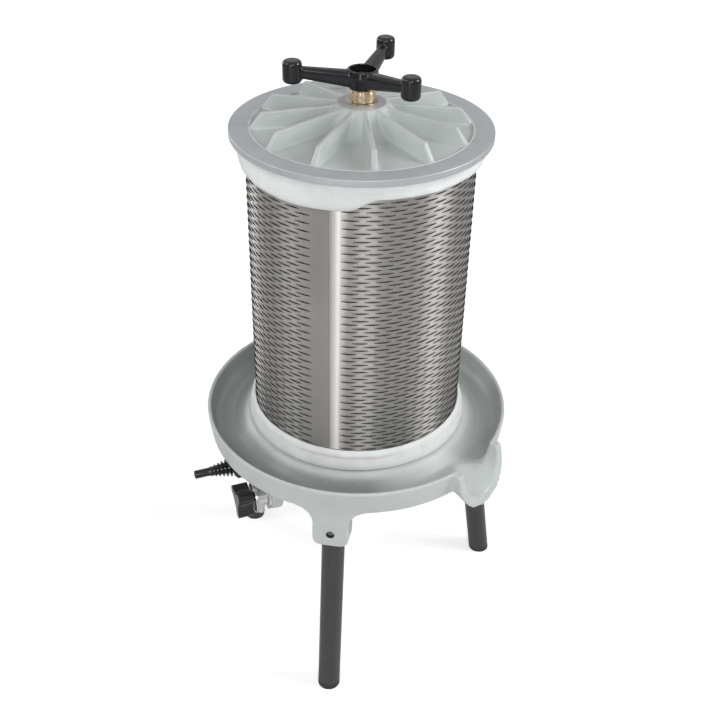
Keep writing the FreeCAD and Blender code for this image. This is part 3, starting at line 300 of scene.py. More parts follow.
    @staticmethod
    def remould(thing: Thing, voxel: float, passes: int, faces: int = 0) -> Thing:
        """Gives a piece the soft corners of a casting or moulding.

        Args:
            thing: The piece, closed all round.
            voxel: The mesh size in mm.
            passes: How many smoothing passes round the corners.
            faces: The most triangles that it keeps, or 0 for all.

        Returns:
            The piece.
        """
        Bench.modify(thing, "REMESH", mode="VOXEL", voxel_size=voxel * MM)
        if passes:
            Bench.modify(thing, "SMOOTH", factor=0.5, iterations=passes)
        return Bench.thin(thing, faces)

    @staticmethod
    def thin(thing: Thing, faces: int) -> Thing:
        """Brings a piece down to a number of triangles."""
        count = sum(len(face.vertices) - 2 for face in thing.data.polygons)
        if faces and count > faces:
            Bench.modify(thing, "DECIMATE", ratio=faces / count)
        return thing

    @staticmethod
    def soften(thing: Thing, weights: np.ndarray, passes: int) -> Thing:
        """Smooths a piece only where its weights are high."""
        group = thing.vertex_groups.new(name="soft")
        for level in range(1, 11):
            chosen = np.nonzero(np.round(weights * 10) == level)[0]
            group.add([int(i) for i in chosen], level / 10, "REPLACE")
        Bench.modify(thing, "SMOOTH", factor=0.5, iterations=passes, vertex_group="soft")
        thing.vertex_groups.clear()
        return thing

    @staticmethod
    def shade(thing: Thing, degrees: float = 35) -> Thing:
        """Shades smooth, with creases sharper than an angle kept."""
        Bench.pick(thing)
        bpy.ops.object.shade_smooth_by_angle(angle=math.radians(degrees))
        return thing

    @staticmethod
    def mark_edges(thing: Thing, passes: int = 2) -> Thing:
        """Stores how convex the surface is at each point, for the lighter edges: worn paint and painted
        highlight.
        """
        mesh = thing.data
        spots = Bench.points(thing)
        normals = np.zeros(len(mesh.vertices) * 3)
        mesh.vertices.foreach_get("normal", normals)
        normals = normals.reshape(-1, 3)
        ends = np.zeros(len(mesh.edges) * 2, int)
        mesh.edges.foreach_get("vertices", ends)
        a, b = ends.reshape(-1, 2).T
        step = spots[b] - spots[a]
        length = np.linalg.norm(step, axis=1) + 1e-9
        bend, count = np.zeros(len(spots)), np.zeros(len(spots))
        np.add.at(bend, a, -(step * normals[a]).sum(1) / length)
        np.add.at(bend, b, (step * normals[b]).sum(1) / length)
        np.add.at(count, a, 1)
        np.add.at(count, b, 1)
        bend /= np.maximum(count, 1)
        for _ in range(passes):
            total = np.zeros(len(spots))
            np.add.at(total, a, bend[b])
            np.add.at(total, b, bend[a])
            bend = 0.5 * bend + 0.5 * total / np.maximum(count, 1)
        store(thing, "edge", np.clip(bend * 3, 0, 1))
        return thing


def store(thing: Thing, name: str, values: np.ndarray) -> None:
    """Keeps one number for each vertex as an attribute."""
    attribute = thing.data.attributes.new(name, "FLOAT", "POINT")
    attribute.data.foreach_set("value", values.astype(np.float32))


def rounded(outline: Sequence[Sequence[float]], pieces: int = 5) -> list[tuple[float, float]]:
    """Rounds the corners of an outline that name a radius.

    Args:
        outline: Corners as (radius, height) or (radius, height, rounding).
        pieces: How many runs each rounding gets.

    Returns:
        The outline's points.
    """
    points: list[tuple[float, float]] = []
    for index, corner in enumerate(outline):
        here = Vector(corner[:2])
        if len(corner) < 3 or index in (0, len(outline) - 1):
            points.append(tuple(here))
            continue
        back = (Vector(outline[index - 1][:2]) - here).normalized()
        on = (Vector(outline[index + 1][:2]) - here).normalized()
        half = back.angle(on) / 2
        if half > math.radians(88):
            points.append(tuple(here))
            continue
        reach = corner[2] / math.tan(half)
        centre = here + (back + on).normalized() * corner[2] / math.sin(half)
        first, last = here + back * reach - centre, here + on * reach - centre
        for step in range(pieces + 1):
            spot = first.lerp(last, step / pieces).normalized() * corner[2] + centre
            points.append(tuple(spot))
    return points


def smooth_step(low: float | np.ndarray, high: float | np.ndarray, values: np.ndarray) -> np.ndarray:
    """0 below low, 1 above high, and a soft ramp between."""
    t = np.clip((values - low) / (high - low), 0, 1)
    return t * t * (3 - 2 * t)


def plateau(rise: tuple[float, float], fall: tuple[float, float], values: np.ndarray) -> np.ndarray:
    """A soft ramp up, 1 between, and a soft ramp down."""
    return smooth_step(*rise, values) * (1 - smooth_step(*fall, values))


def from_front(angle: np.ndarray) -> np.ndarray:
    """World angles as degrees from the camera's side, plus to the right."""
    return (angle - FRONT + 180) % 360 - 180


def polar(spots: np.ndarray) -> tuple[np.ndarray, np.ndarray]:
    """Radius and world angle in degrees of points."""
    return np.hypot(spots[:, 0], spots[:, 1]), np.degrees(np.arctan2(spots[:, 1], spots[:, 0]))


def outward(angle: float, by: Point) -> Matrix:
    """Lays a lathe piece's axis level and outward at an angle, after a shift in mm."""
    shift = Matrix.Translation([step * MM for step in by])
    return Matrix.Rotation(math.radians(angle), 4, "Z") @ shift @ Matrix.Rotation(math.pi / 2, 4, "Y")


class Effect(Enum):
    """Shader node groups that several finishes share."""

    MOTTLE = "mottle"
    SKIN = "skin"
    TURNING = "turning_lines"
    BRUSH = "brush_lines"
    # Lighter convex edges: worn paint and painted highlight.
    WEAR = "edge_wear_and_highlight"
    DUST = "dust"

    def group(self) -> bpy.types.NodeTree:
        """The effect's node group, built at its first use."""
        made = bpy.data.node_groups.get(self.value)
        return made or getattr(GroupMaker(self.value), self.value)()


class Graph:
    """A shader node tree that is being filled."""

    def __init__(self, tree: bpy.types.NodeTree) -> None:
        """Takes the tree of a material, a world or a group."""
        self.tree = tree

    def node(self, kind: str, inputs: Inputs | None = None, **settings: object) -> bpy.types.Node:
        """Adds a node.

        Args:
            kind: The node's type, without its first words.
            inputs: Values or sockets for its inputs, by name or number.
            **settings: Its properties.

        Returns:
            The node.
        """
        node = self.tree.nodes.new("ShaderNode" + kind)
        for key, value in settings.items():
            setattr(node, key, value)
        for key, value in (inputs or {}).items():
            if isinstance(value, Socket):
                self.tree.links.new(value, node.inputs[key])
            else:
                node.inputs[key].default_value = value
        return node

    def place(self) -> Socket:
        """The surface's own coordinates."""
        return self.node("TexCoord").outputs["Object"]

    def stored(self, name: str) -> Socket:
        """A number kept in the mesh."""
        return self.node("Attribute", attribute_name=name).outputs["Fac"]

    def math(self, operation: str, *values: object) -> Socket:
        """Works out one number from others."""
        return self.node("Math", dict(enumerate(values)), operation=operation).outputs[0]

    def noise(
        self, scale: object, detail: float, place: Socket | None = None, roughness: float = 0.5
    ) -> Socket:
        """Noise in the surface's coordinates, or in others."""
        inputs: Inputs = {"Vector": place or self.place(), "Scale": scale}
        inputs |= {"Detail": detail, "Roughness": roughness}
        return self.node("TexNoise", inputs).outputs["Fac"]

    def span(self, source: Socket, low: float, high: float, start: float = 0.0, stop: float = 1.0) -> Socket:
        """Spreads what runs from start to stop between two values."""
        inputs = {"Value": source, "From Min": start, "From Max": stop, "To Min": low, "To Max": high}
        return self.node("MapRange", inputs).outputs[0]

    def mix(self, mask: object, low: object, high: object) -> Socket:
        """Mixes two colours by a mask."""
        return self.node("Mix", {0: mask, 6: low, 7: high}, data_type="RGBA").outputs[2]

    def bump(self, height: Socket, depth: float, under: Socket | None = None) -> Socket:
        """Turns a height into a normal.

        Args:
            height: The height mask.
            depth: What 1 stands for, in mm.
            under: A normal that this one is added to.

        Returns:
            The normal.
        """
        inputs: Inputs = {"Height": height, "Distance": depth * MM, "Strength": 1.0}
        if under is not None:
            inputs["Normal"] = under
        return self.node("Bump", inputs).outputs[0]


class GroupMaker(Graph):
    """Builds the node groups of the shared effects."""

    def __init__(self, name: str) -> None:
        """Starts an empty group."""
        super().__init__(bpy.data.node_groups.new(name, "ShaderNodeTree"))
        self.start = self.tree.nodes.new("NodeGroupInput")
        self.end = self.tree.nodes.new("NodeGroupOutput")

    def takes(self, name: str, value: object, kind: str = "Float") -> Socket:
        """Adds an input and gives its socket inside the group."""
        socket = self.tree.interface.new_socket(name, in_out="INPUT", socket_type="NodeSocket" + kind)
        socket.default_value = value
        return self.start.outputs[name]

    def gives(self, name: str, source: Socket, kind: str = "Float") -> bpy.types.NodeTree:
        """Adds an output fed by a socket."""
        self.tree.interface.new_socket(name, in_out="OUTPUT", socket_type="NodeSocket" + kind)
        self.tree.links.new(source, self.end.inputs[name])
        return self.tree

    def mottle(self) -> bpy.types.NodeTree:
        """Broad soft changes between two colours."""
        scale = self.takes("Scale", 20.0)
        low = self.takes("Low", (0.5, 0.5, 0.5, 1), "Color")
        high = self.takes("High", (0.6, 0.6, 0.6, 1), "Color")
        ramp = self.span(self.noise(scale, 4.0, roughness=0.6), 0.0, 1.0, 0.32, 0.68)
        self.gives("Colour", self.mix(ramp, low, high), "Color")
        return self.gives("Mask", ramp)

    def skin(self) -> bpy.types.NodeTree:
        """Fine grain with scattered pits, as a height."""
        scale = self.takes("Scale", 600.0)
        pits = self.takes("Pits", 0.3)
        fine = self.noise(scale, 3.0, roughness=0.55)
        cells = self.node("TexVoronoi", {"Vector": self.place(), "Scale": scale}).outputs["Distance"]
        dips = self.math("MULTIPLY", self.span(cells, 0.0, 1.0, 0.0, 0.35), pits)
        return self.gives("Height", self.math("ADD", fine, dips))

    def turning_lines(self) -> bpy.types.NodeTree:
        """Fine rings left by a lathe round the press axis."""
        scale = self.takes("Scale", 2000.0)
        parts = self.node("SeparateXYZ", {0: self.place()})
        flat = self.node("CombineXYZ", {0: parts.outputs[0], 1: parts.outputs[1]}).outputs[0]
        away = self.node("VectorMath", {0: flat}, operation="LENGTH").outputs["Value"]
        inputs = {"W": self.math("ADD", away, parts.outputs[2]), "Scale": scale, "Detail": 2.0}
        return self.gives("Mask", self.node("TexNoise", inputs, noise_dimensions="1D").outputs["Fac"])

    def brush_lines(self) -> bpy.types.NodeTree:
        """Long scratches that run round the press axis."""
        scale = self.takes("Scale", 500.0)
        parts = self.node("SeparateXYZ", {0: self.place()})
        tall = self.math("MULTIPLY", parts.outputs[2], 14.0)
        stretched = self.node("CombineXYZ", {0: parts.outputs[0], 1: parts.outputs[1], 2: tall})
        return self.gives("Mask", self.noise(scale, 3.0, stretched.outputs[0]))

    def edge_wear_and_highlight(self) -> bpy.types.NodeTree:
        """Broken lightening along the convex edges: worn paint and painted highlight."""
        amount = self.takes("Amount", 0.5)
        broken = self.math("MULTIPLY", self.stored("edge"), self.noise(180.0, 4.0))
        return self.gives("Mask", self.math("MULTIPLY", self.span(broken, 0.0, 1.0, 0.08, 0.4), amount))

    def dust(self) -> bpy.types.NodeTree:
        """A thin broken film on what faces up."""
        amount = self.takes("Amount", 0.2)
        facing = self.node("SeparateXYZ", {0: self.node("NewGeometry").outputs["Normal"]}).outputs[2]
        part = self.math("MULTIPLY", self.span(facing, 0.0, 1.0, 0.3, 1.0), self.noise(45.0, 5.0))
        return self.gives("Mask", self.math("MULTIPLY", part, amount))


class Recipe(Graph):
    """One material, filled step by step."""

    def __init__(self, name: str, **values: object) -> None:
        """Starts a material with plain values on its shader.

        Args:
            name: The material's name.
            **values: Shader inputs, with _ for each space.
        """
        self.material = bpy.data.materials.new(name)
        self.material.use_nodes = True
        super().__init__(self.material.node_tree)
        self.shader = self.tree.nodes["Principled BSDF"]
        for key, value in values.items():
            self.shader.inputs[key.replace("_", " ")].default_value = value

    def effect(self, effect: Effect, output: str = "Mask", **inputs: object) -> Socket:
        """Places a shared effect with this finish's values."""
        node = self.tree.nodes.new("ShaderNodeGroup")
        node.node_tree = effect.group()
        for key, value in inputs.items():
            node.inputs[key].default_value = value
        return node.outputs[output]

    def mottled(self, colour: Point, scale: float, low: float, high: float) -> tuple[Socket, Socket]:
        """A colour that changes softly between a darker and a lighter tone, and its mask."""
        tones = {"Low": tint(colour, low), "High": tint(colour, high)}
        shade = self.effect(Effect.MOTTLE, "Colour", Scale=scale, **tones)
        return shade, shade.node.outputs["Mask"]

    def feed(self, socket: str, source: Socket) -> None:
        """Feeds one of the shader's inputs."""
        self.tree.links.new(source, self.shader.inputs[socket])


def tint(colour: Point, factor: float = 1.0) -> tuple[float, float, float, float]:
    """A colour, made lighter or darker, with its alpha."""
    return (colour[0] * factor, colour[1] * factor, colour[2] * factor, 1.0)


@dataclass(frozen=True)
class Finish:
    """A surface finish, made once into a material."""

    name: str
    colour: Point
    roughness: float

    def material(self) -> bpy.types.Material:
        """The finish's material, built at its first use."""
        made = bpy.data.materials.get(self.name)
        return made or self.build().material

    def build(self) -> Recipe:
        """Mixes the finish. Each kind has its own way."""
        raise NotImplementedError


@dataclass(frozen=True)
class Paint(Finish):
    """Baked paint over a casting or tube.

    Attributes:
        grain: How many grains of the skin fit in a metre.
        depth: The skin's depth in mm.
        wear_and_highlight: How much the edges are lightened, as worn paint and painted highlight.
        dust: How much film lies on what faces up.
    """

    grain: float = 500.0
    depth: float = 0.05
    wear_and_highlight: float = 0.35
    dust: float = 0.1

    def build(self) -> Recipe:
        """Mottled colour, lighter edges (worn paint and painted highlight), a film of dust, painted shade
        where the mesh marks it, and the casting's skin.
        """
        recipe = Recipe(self.name)
        colour, mask = recipe.mottled(self.colour, 22.0, 0.95, 1.04)
        pale = tuple(min(1.0, 0.4 * c + 0.58) for c in self.colour)
        # Lighter convex edges: partly worn paint, partly painted highlight.
        worn_and_highlit = recipe.mix(recipe.effect(Effect.WEAR, Amount=self.wear_and_highlight), colour, tint(pale))
        grey = recipe.mix(recipe.effect(Effect.DUST, Amount=self.dust), worn_and_highlit, (0.5, 0.5, 0.48, 1))
        # Painted shade: a darker colour where the mesh's stored mask is high, as in the tray's gutter.
        recipe.feed("Base Color", recipe.mix(recipe.stored("stain_and_painted_shade"), grey, tint(self.colour, 0.45)))
        recipe.feed("Roughness", recipe.span(mask, self.roughness - 0.05, self.roughness + 0.06))
        skin = recipe.effect(Effect.SKIN, "Height", Scale=self.grain, Pits=0.4)
        recipe.feed("Normal", recipe.bump(skin, self.depth))
        return recipe


@dataclass(frozen=True)
class Moulded(Finish):
    """Moulded plastic or rubber.

    Attributes:
        grain: How many grains of the skin fit in a metre.
        depth: The skin's depth in mm.
        dust: How much pale dust lies on it, from 0 to 1.
    """

    grain: float = 300.0
    depth: float = 0.01
    dust: float = 0.06

    def build(self) -> Recipe:
        """Even dark colour with rubbed patches and a faint skin."""
        recipe = Recipe(self.name)
        colour, mask = recipe.mottled(self.colour, 35.0, 0.85, 1.2)
        dust = recipe.effect(Effect.DUST, Amount=self.dust)
        recipe.feed("Base Color", recipe.mix(dust, colour, (0.4, 0.4, 0.4, 1)))
        recipe.feed("Roughness", recipe.span(mask, self.roughness, self.roughness + 0.1))
        skin = recipe.effect(Effect.SKIN, "Height", Scale=self.grain, Pits=0.2)
        recipe.feed("Normal", recipe.bump(skin, self.depth))
        return recipe


@dataclass(frozen=True)
class Metal(Finish):
    """Bare or plated metal.

    Attributes:
        lines: Rings per metre that the lathe left, or 0 for a rough cast skin.
        depth: The depth of rings or skin in mm.
        stain_and_painted_shade: How dark the stained patches are, from 0 to 1.
        metallic: How much of the surface is bare metal rather than a dull oxide.
    """

    lines: float = 0.0
    depth: float = 0.004
    stain_and_painted_shade: float = 0.2
    metallic: float = 1.0

    def build(self) -> Recipe:
        """Stained metal with turning rings or a cast skin."""
        recipe = Recipe(self.name, Metallic=self.metallic)
        recipe.feed("Base Color", recipe.mottled(self.colour, 60.0, 1 - self.stain_and_painted_shade, 1.0)[0])
        if self.lines:
            height = recipe.effect(Effect.TURNING, Scale=self.lines)
        else:
            height = recipe.effect(Effect.SKIN, "Height", Scale=500.0, Pits=0.5)
        recipe.feed("Roughness", recipe.span(height, self.roughness - 0.06, self.roughness + 0.1))
        recipe.feed("Normal", recipe.bump(height, self.depth))
        return recipe


@dataclass(frozen=True)
class CageSteel(Finish):
    """Rolled stainless sheet with its weld.

    Attributes:
        stretch: How far the sheet's grain stretches a reflection.
    """

    stretch: float = 0.7

    def build(self) -> Recipe:
        """Sheet with a grain round the cage, so that reflections stretch upright."""
        recipe = Recipe(self.name, Metallic=1.0, Anisotropic=self.stretch, Anisotropic_Rotation=0.25)
        recipe.feed("Tangent", recipe.node("Tangent", direction_type="RADIAL", axis="Z").outputs[0])
        colour, _ = recipe.mottled(self.colour, 12.0, 0.93, 1.05)
        brush = recipe.effect(Effect.BRUSH, Scale=140.0)
        seam = recipe.mix(recipe.stored("weld"), colour, (0.33, 0.31, 0.29, 1))
        # Painted reflection: a lighter colour on the plain band beside the weld.
        recipe.feed("Base Color", recipe.mix(recipe.stored("painted_reflection"), seam, (0.62, 0.61, 0.585, 1)))
        recipe.feed("Roughness", recipe.span(brush, self.roughness - 0.06, self.roughness + 0.08))
        recipe.feed("Normal", recipe.bump(brush, 0.01))
        return recipe


@dataclass(frozen=True)
class Woven(Finish):
    """White press cloth.

    Attributes:
        threads: Threads in a metre.
        depth: The weave's depth in mm.
    """

    threads: float = 900.0
    depth: float = 0.12

    def build(self) -> Recipe:
        """Plain weave that follows the cloth's own run, with stitched hems."""
        sheen = {"Sheen_Weight": 0.25, "Sheen_Roughness": 0.5}
        depth = {"Subsurface_Weight": 0.08, "Subsurface_Scale": 0.004}
        recipe = Recipe(self.name, Roughness=self.roughness, **sheen, **depth)
        run = recipe.node("UVMap", uv_map="run").outputs[0]
        turn = recipe.node("VectorMath", {0: run, 3: self.threads * math.pi}, operation="SCALE")
        parts = recipe.node("SeparateXYZ", {0: turn.outputs[0]}).outputs
        weave = recipe.math("MULTIPLY", recipe.math("SINE", parts[0]), recipe.math("SINE", parts[1]))
        colour, _ = recipe.mottled(self.colour, 30.0, 0.95, 1.04)
        recipe.feed("Base Color", recipe.mix(recipe.stored("thread"), colour, (0.62, 0.40, 0.44, 1)))
        skin = recipe.effect(Effect.SKIN, "Height", Scale=260.0, Pits=0.1)
        recipe.feed("Normal", recipe.bump(weave, self.depth, recipe.bump(skin, 0.25)))
        return recipe


CAST_PAINT = Paint("pale_cast_paint", (0.575, 0.615, 0.60), 0.33, grain=420.0, depth=0.045, wear_and_highlight=0.5)
LEG_PAINT = Paint(
    "dark_leg_paint", (0.045, 0.0445, 0.044), 0.32, grain=900.0, depth=0.03, wear_and_highlight=0.2, dust=0.04
)
BLACK_PLASTIC = Moulded("black_gloss_plastic", (0.008, 0.008, 0.011), 0.13, depth=0.004, dust=0.02)
FOOT_PLASTIC = Moulded("black_foot_plastic", (0.025, 0.025, 0.025), 0.5, depth=0.03)
RUBBER = Moulded("black_rubber", (0.03, 0.03, 0.03), 0.62, grain=700.0, depth=0.04)
CAGE_STEEL = CageSteel("rolled_cage_steel", (0.46, 0.445, 0.425), 0.36, stretch=1.0)
# Near-black on the slits' cut edges: painted shade of the slit openings.
SLIT_SHADE = Metal("slit_painted_shade", (0.045, 0.042, 0.04), 0.6, depth=0.02)
RING_STEEL = Metal("spun_ring_steel", (0.55, 0.54, 0.52), 0.28, lines=1500.0)
MACHINED = {"lines": 1800.0, "depth": 0.002, "stain_and_painted_shade": 0.06}
RIM_ALLOY = Metal("machined_rim", (0.54, 0.565, 0.585), 0.46, metallic=0.55, **MACHINED)
HUB_ALLOY = Metal("machined_hub_face", (0.52, 0.51, 0.535), 0.5, metallic=0.35, **MACHINED)
PAINT_EDGE = Paint("painted_bead", (0.70, 0.73, 0.72), 0.3, grain=420.0, depth=0.02, wear_and_highlight=0.1)
# Near-black lining of the set screws' mouths: painted shade of the recesses.
MOUTH_SHADE = Metal("mouth_painted_shade", (0.06, 0.06, 0.065), 0.4, depth=0.01)
ZINC = Metal("zinc_plate", (0.56, 0.56, 0.55), 0.34, lines=1200.0)
CHROME = Metal("polished_chrome", (0.72, 0.72, 0.73), 0.1, lines=900.0, depth=0.0015, stain_and_painted_shade=0.1)
BRASS = Metal("turned_brass", (0.82, 0.63, 0.42), 0.15, lines=1500.0, depth=0.002, stain_and_painted_shade=0.1)
FITTING_BRASS = Metal("cast_fitting_brass", (0.60, 0.45, 0.25), 0.42, depth=0.05, stain_and_painted_shade=0.35)
CLOTH = Woven("white_press_cloth", (0.88, 0.89, 0.89), 0.85)


def hand_over(thing: Thing, finish: Finish, body: Body, slot: Slot, *nodes: str) -> Thing:
    """Gives a piece its finish, its body and the nodes that it stands for.

    Args:
        thing: The finished piece.
        finish: Its finish, unless it already has its own ones.
        body: The body that it rides on.
        slot: The record's slot for its finish; not used.
        *nodes: CAD nodes that it replaces.

    Returns:
        The piece.
    """
    if not thing.data.materials:
        thing.data.materials.append(finish.material())
    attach(thing, body.value)
    if nodes:
        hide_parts(*nodes)
    log.info("%s: %d faces on %s", thing.name, len(thing.data.polygons), body.value)
    return thing


@dataclass
class Tray:
    """Cast tray with gutter, spout, leg sockets and tap lug."""

    voxel: float = 1.5
    passes: int = 9
    most: int = 190000
    screw_angles: tuple[float, ...] = (-149.4, -32.0, 90.0)
    screw_height: float = 256.0
    screw_end: float = 182.5
    screw_mouth: float = 4.9
    screw_recess: float = 2.5
    gutter_inner: float = 139.0
    rim_radius: float = 189.5
    rim_height: float = 325.0
    wall_height: float = 34.0
    wall_lean: float = 4.5

    def build(self) -> list[Thing]:
        """Remoulds the solid with cast corners."""
        thing = Bench.node_copy("tray_casting", "tray")
        Bench.remould(thing, self.voxel, self.passes, self.most)
        Bench.mark_edges(thing)
        # Painted shade for the gutter, kept as a mask in the mesh for the paint.
        store(thing, "stain_and_painted_shade", self.gutter_painted_shade(Bench.points(thing)))
        for angle in self.screw_angles:
            Bench.drop_faces(thing, lambda at, turn=math.radians(angle): self.in_mouth(at, turn))
        Bench.shade(thing, 60)
        return [
            hand_over(thing, CAST_PAINT, Body.BASE, Slot.CAST_PAINT, "tray"),
            hand_over(self.screw_mouths(), MOUTH_SHADE, Body.BASE, Slot.ZINC),
        ]

    def in_mouth(self, at: np.ndarray, turn: float) -> np.ndarray:
        """Picks what lies over one set screw."""
        along = at[:, 0] * math.cos(turn) + at[:, 1] * math.sin(turn)
        across = at[:, 1] * math.cos(turn) - at[:, 0] * math.sin(turn)
        near = np.hypot(across, at[:, 2] - self.screw_height) < self.screw_mouth - 0.4
        return near & (along > self.screw_end - 2)

    def screw_mouths(self) -> Thing:
        """Dark liners in the mouths in front of the set screws: painted shade of the recesses."""
        inner, outer, out = self.screw_mouth - 1.0, self.screw_mouth + 0.15, self.screw_recess + 0.3
        outline = [
            (inner, -1.5),
            (outer, -1.5),
            (outer, out, 0.3),
            (inner + 0.2, out, 0.3),
            (inner, out - 1.0),
            (inner, -1.5),
        ]
        name, spot = "set_screw_mouths", (self.screw_end, 0, self.screw_height)
        rings = [Bench.turned(name, outline, 48, outward(angle, spot)) for angle in self.screw_angles]
        return Bench.joined(name, *rings)

    def gutter_painted_shade(self, spots: np.ndarray) -> np.ndarray:
        """Painted shade that darkens the gutter, most on the way to the spout."""
        away, angle = polar(spots)
        turn = from_front(angle)
        wall = self.rim_radius - self.wall_lean * (self.rim_height - spots[:, 2]) / self.wall_height
        inside = plateau((self.gutter_inner, self.gutter_inner + 8), (wall - 3.5, wall - 2.0), away)
        deep = plateau((295.2, 296.5), (321.5, 324.5), spots[:, 2])
        front = 0.72 + 0.28 * plateau((-75.0, -35.0), (4.0, 20.0), turn)
        run = 1 - 0.55 * plateau((4.0, 24.0), (48.0, 70.0), turn)
        side = 1 - 0.45 * plateau((48.0, 70.0), (140.0, 170.0), turn)
        return inside * deep * front * run * side


@dataclass
class Lid:
    """Ribbed cast lid with its machined rim and hub face."""

    radius: float = 144.0
    rim_low: float = 682.0
    rim_high: float = 689.5
    panel_radius: float = 121.5
    panel_height: float = 687.0
    hub_radius: float = 26.5
    hub_top: float = 715.0
    bore: float = 10.5
    ribs: int = 12
    first_rib: float = -134.0
    shoulder_radius: float = 108.0
    shoulder_rise: float = 18.6
    toe_radius: float = 120.3
    toe_rise: float = 3.0
    crest_start: float = 713.2
    crest_width: float = 5.0
    foot_width: float = 9.4
    voxel: float = 1.0
    most: int = 190000

    def build(self) -> list[Thing]:
        """The casting with its ribs, its rim, the panel's edge and the hub face."""
        casting = Bench.joined("lid_casting", Bench.node_copy("lid_casting", "lid"), *self.rib_plates())
        Bench.remould(casting, self.voxel, 2)
        spots = Bench.points(casting)
        Bench.soften(casting, self.foot_weights(spots), 14)
        edge, face = self.panel_radius - 0.6, self.hub_radius - 1.2
        Bench.drop_faces(casting, lambda at: (polar(at)[0] > edge) & (at[:, 2] > self.rim_low - 2))
        Bench.drop_faces(casting, lambda at: (polar(at)[0] < face) & (at[:, 2] > self.hub_top - 3))
        Bench.thin(casting, self.most)
        Bench.mark_edges(casting)
        Bench.shade(casting, 60)
        pieces = [hand_over(casting, CAST_PAINT, Body.LID, Slot.CAST_PAINT, "lid")]
        for piece, finish in (
            (self.rim(), RIM_ALLOY),
            (self.hub_face(), HUB_ALLOY),
            (self.panel_edge(), PAINT_EDGE),
        ):
            pieces.append(hand_over(piece, finish, Body.LID, Slot.CAST_PAINT))
        return pieces

    def crest(self, away: np.ndarray) -> np.ndarray:
        """The height of a rib's crest at each distance from the axis."""
        radii = [self.hub_radius - 4, self.shoulder_radius, self.toe_radius]
        rises = [self.crest_start - self.panel_height, self.shoulder_rise, self.toe_rise]
        return self.panel_height + np.interp(away, radii, rises)

    def rib_plates(self) -> list[Thing]:
        """Upright ribs, thicker at their feet: one is modelled and the others are turned copies."""
        start, end = self.hub_radius - 4, self.toe_radius
        shoulder, low = self.shoulder_radius, self.panel_height - 1
        Bench.clear()
        bpy.ops.mesh.primitive_cube_add(size=0.001, location=(0.0005, 0, 0.0005))
        plate = Bench.added("rib_plate")
        Bench.shift(plate, lambda p: p[:, 0] > 0.5, (shoulder - 1, 0, 0))
        Bench.shift(plate, lambda p: p[:, 0] < 0.5, (start, 0, 0))
        for side in (-1, 1):
            crest, foot = side * (self.crest_width - 1) / 2, side * (self.foot_width - 1) / 2
            Bench.shift(plate, lambda p: (p[:, 1] * side > 0) & (p[:, 2] > 0.5), (0, crest, 0))
            Bench.shift(plate, lambda p: (p[:, 1] * side > 0) & (p[:, 2] < 0.5), (0, foot, 0))
        Bench.select(plate, lambda c: c[:, 0] > shoulder - 0.1, "FACE")
        bpy.ops.mesh.extrude_region_move(TRANSFORM_OT_translate={"value": ((end - shoulder) * MM, 0, 0)})
        bpy.ops.object.mode_set(mode="OBJECT")
        Bench.shift(plate, lambda p: p[:, 2] < 0.5, (0, 0, low))
        for at in (start, shoulder, end):
            rise = float(self.crest(np.array([at]))[0]) - 1
            Bench.shift(plate, lambda p: (p[:, 2] < 2) & (np.abs(p[:, 0] - at) < 0.1), (0, 0, rise))
        plates = [plate]
        for index in range(1, self.ribs):
            copy = bpy.data.objects.new("rib_plate", plate.data.copy())
            bpy.context.scene.collection.objects.link(copy)
            angle = math.radians(self.first_rib + 360 / self.ribs * index)
            plates.append(Bench.place(copy, Matrix.Rotation(angle, 4, "Z")))
        Bench.place(plate, Matrix.Rotation(math.radians(self.first_rib), 4, "Z"))
        return plates

    def foot_weights(self, spots: np.ndarray) -> np.ndarray:
        """Where the ribs run out softly into the panel: not near their crests."""
        away, _ = polar(spots)
        below = smooth_step(3, 6.5, self.crest(away) - spots[:, 2])
        hub, panel = self.hub_radius, self.panel_radius
        between = plateau((hub + 1, hub + 6), (panel - 3, panel - 1), away)
        top = smooth_step(self.panel_height - 3, self.panel_height - 1, spots[:, 2])
        return below * between * top

    def panel_edge(self) -> Thing:
        """The thin painted bead between panel and rim."""
        inside, top = self.panel_radius - 0.9, self.rim_high + 0.3
        outside, foot = inside + 1.7, top - 2.6
        outline = [(inside, foot), (inside, top, 0.5), (outside, top, 0.5), (outside, foot), (inside, foot)]
        return Bench.turned("lid_panel_bead", outline, 240)

    def rim(self) -> Thing:
        """The turned flat ring with a step down to the panel."""
        inside = self.panel_radius
        outline = [
            (inside - 2.5, self.rim_low + 0.6),
            (inside - 2.5, self.rim_low),
            (self.radius, self.rim_low, 1.0),
            (self.radius, self.rim_high, 0.9),
            (inside + 0.4, self.rim_high, 0.5),
            (inside - 0.2, self.panel_height + 0.6, 0.5),
            (inside - 2.5, self.panel_height + 0.2),
            (inside - 2.5, self.rim_low + 0.6),
        ]
        return Bench.turned("lid_rim", outline, 240)

    def hub_face(self) -> Thing:
        """The turned face round the bore, on top of the hub."""
        top = self.hub_top
        outline = [
            (self.bore, top - 6),
            (self.bore, top, 0.5),
            (self.hub_radius - 0.3, top, 0.6),
            (self.hub_radius - 0.3, top - 1.6),
            (self.bore, top - 6),
        ]
        return Bench.turned("lid_hub_face", outline, 120)


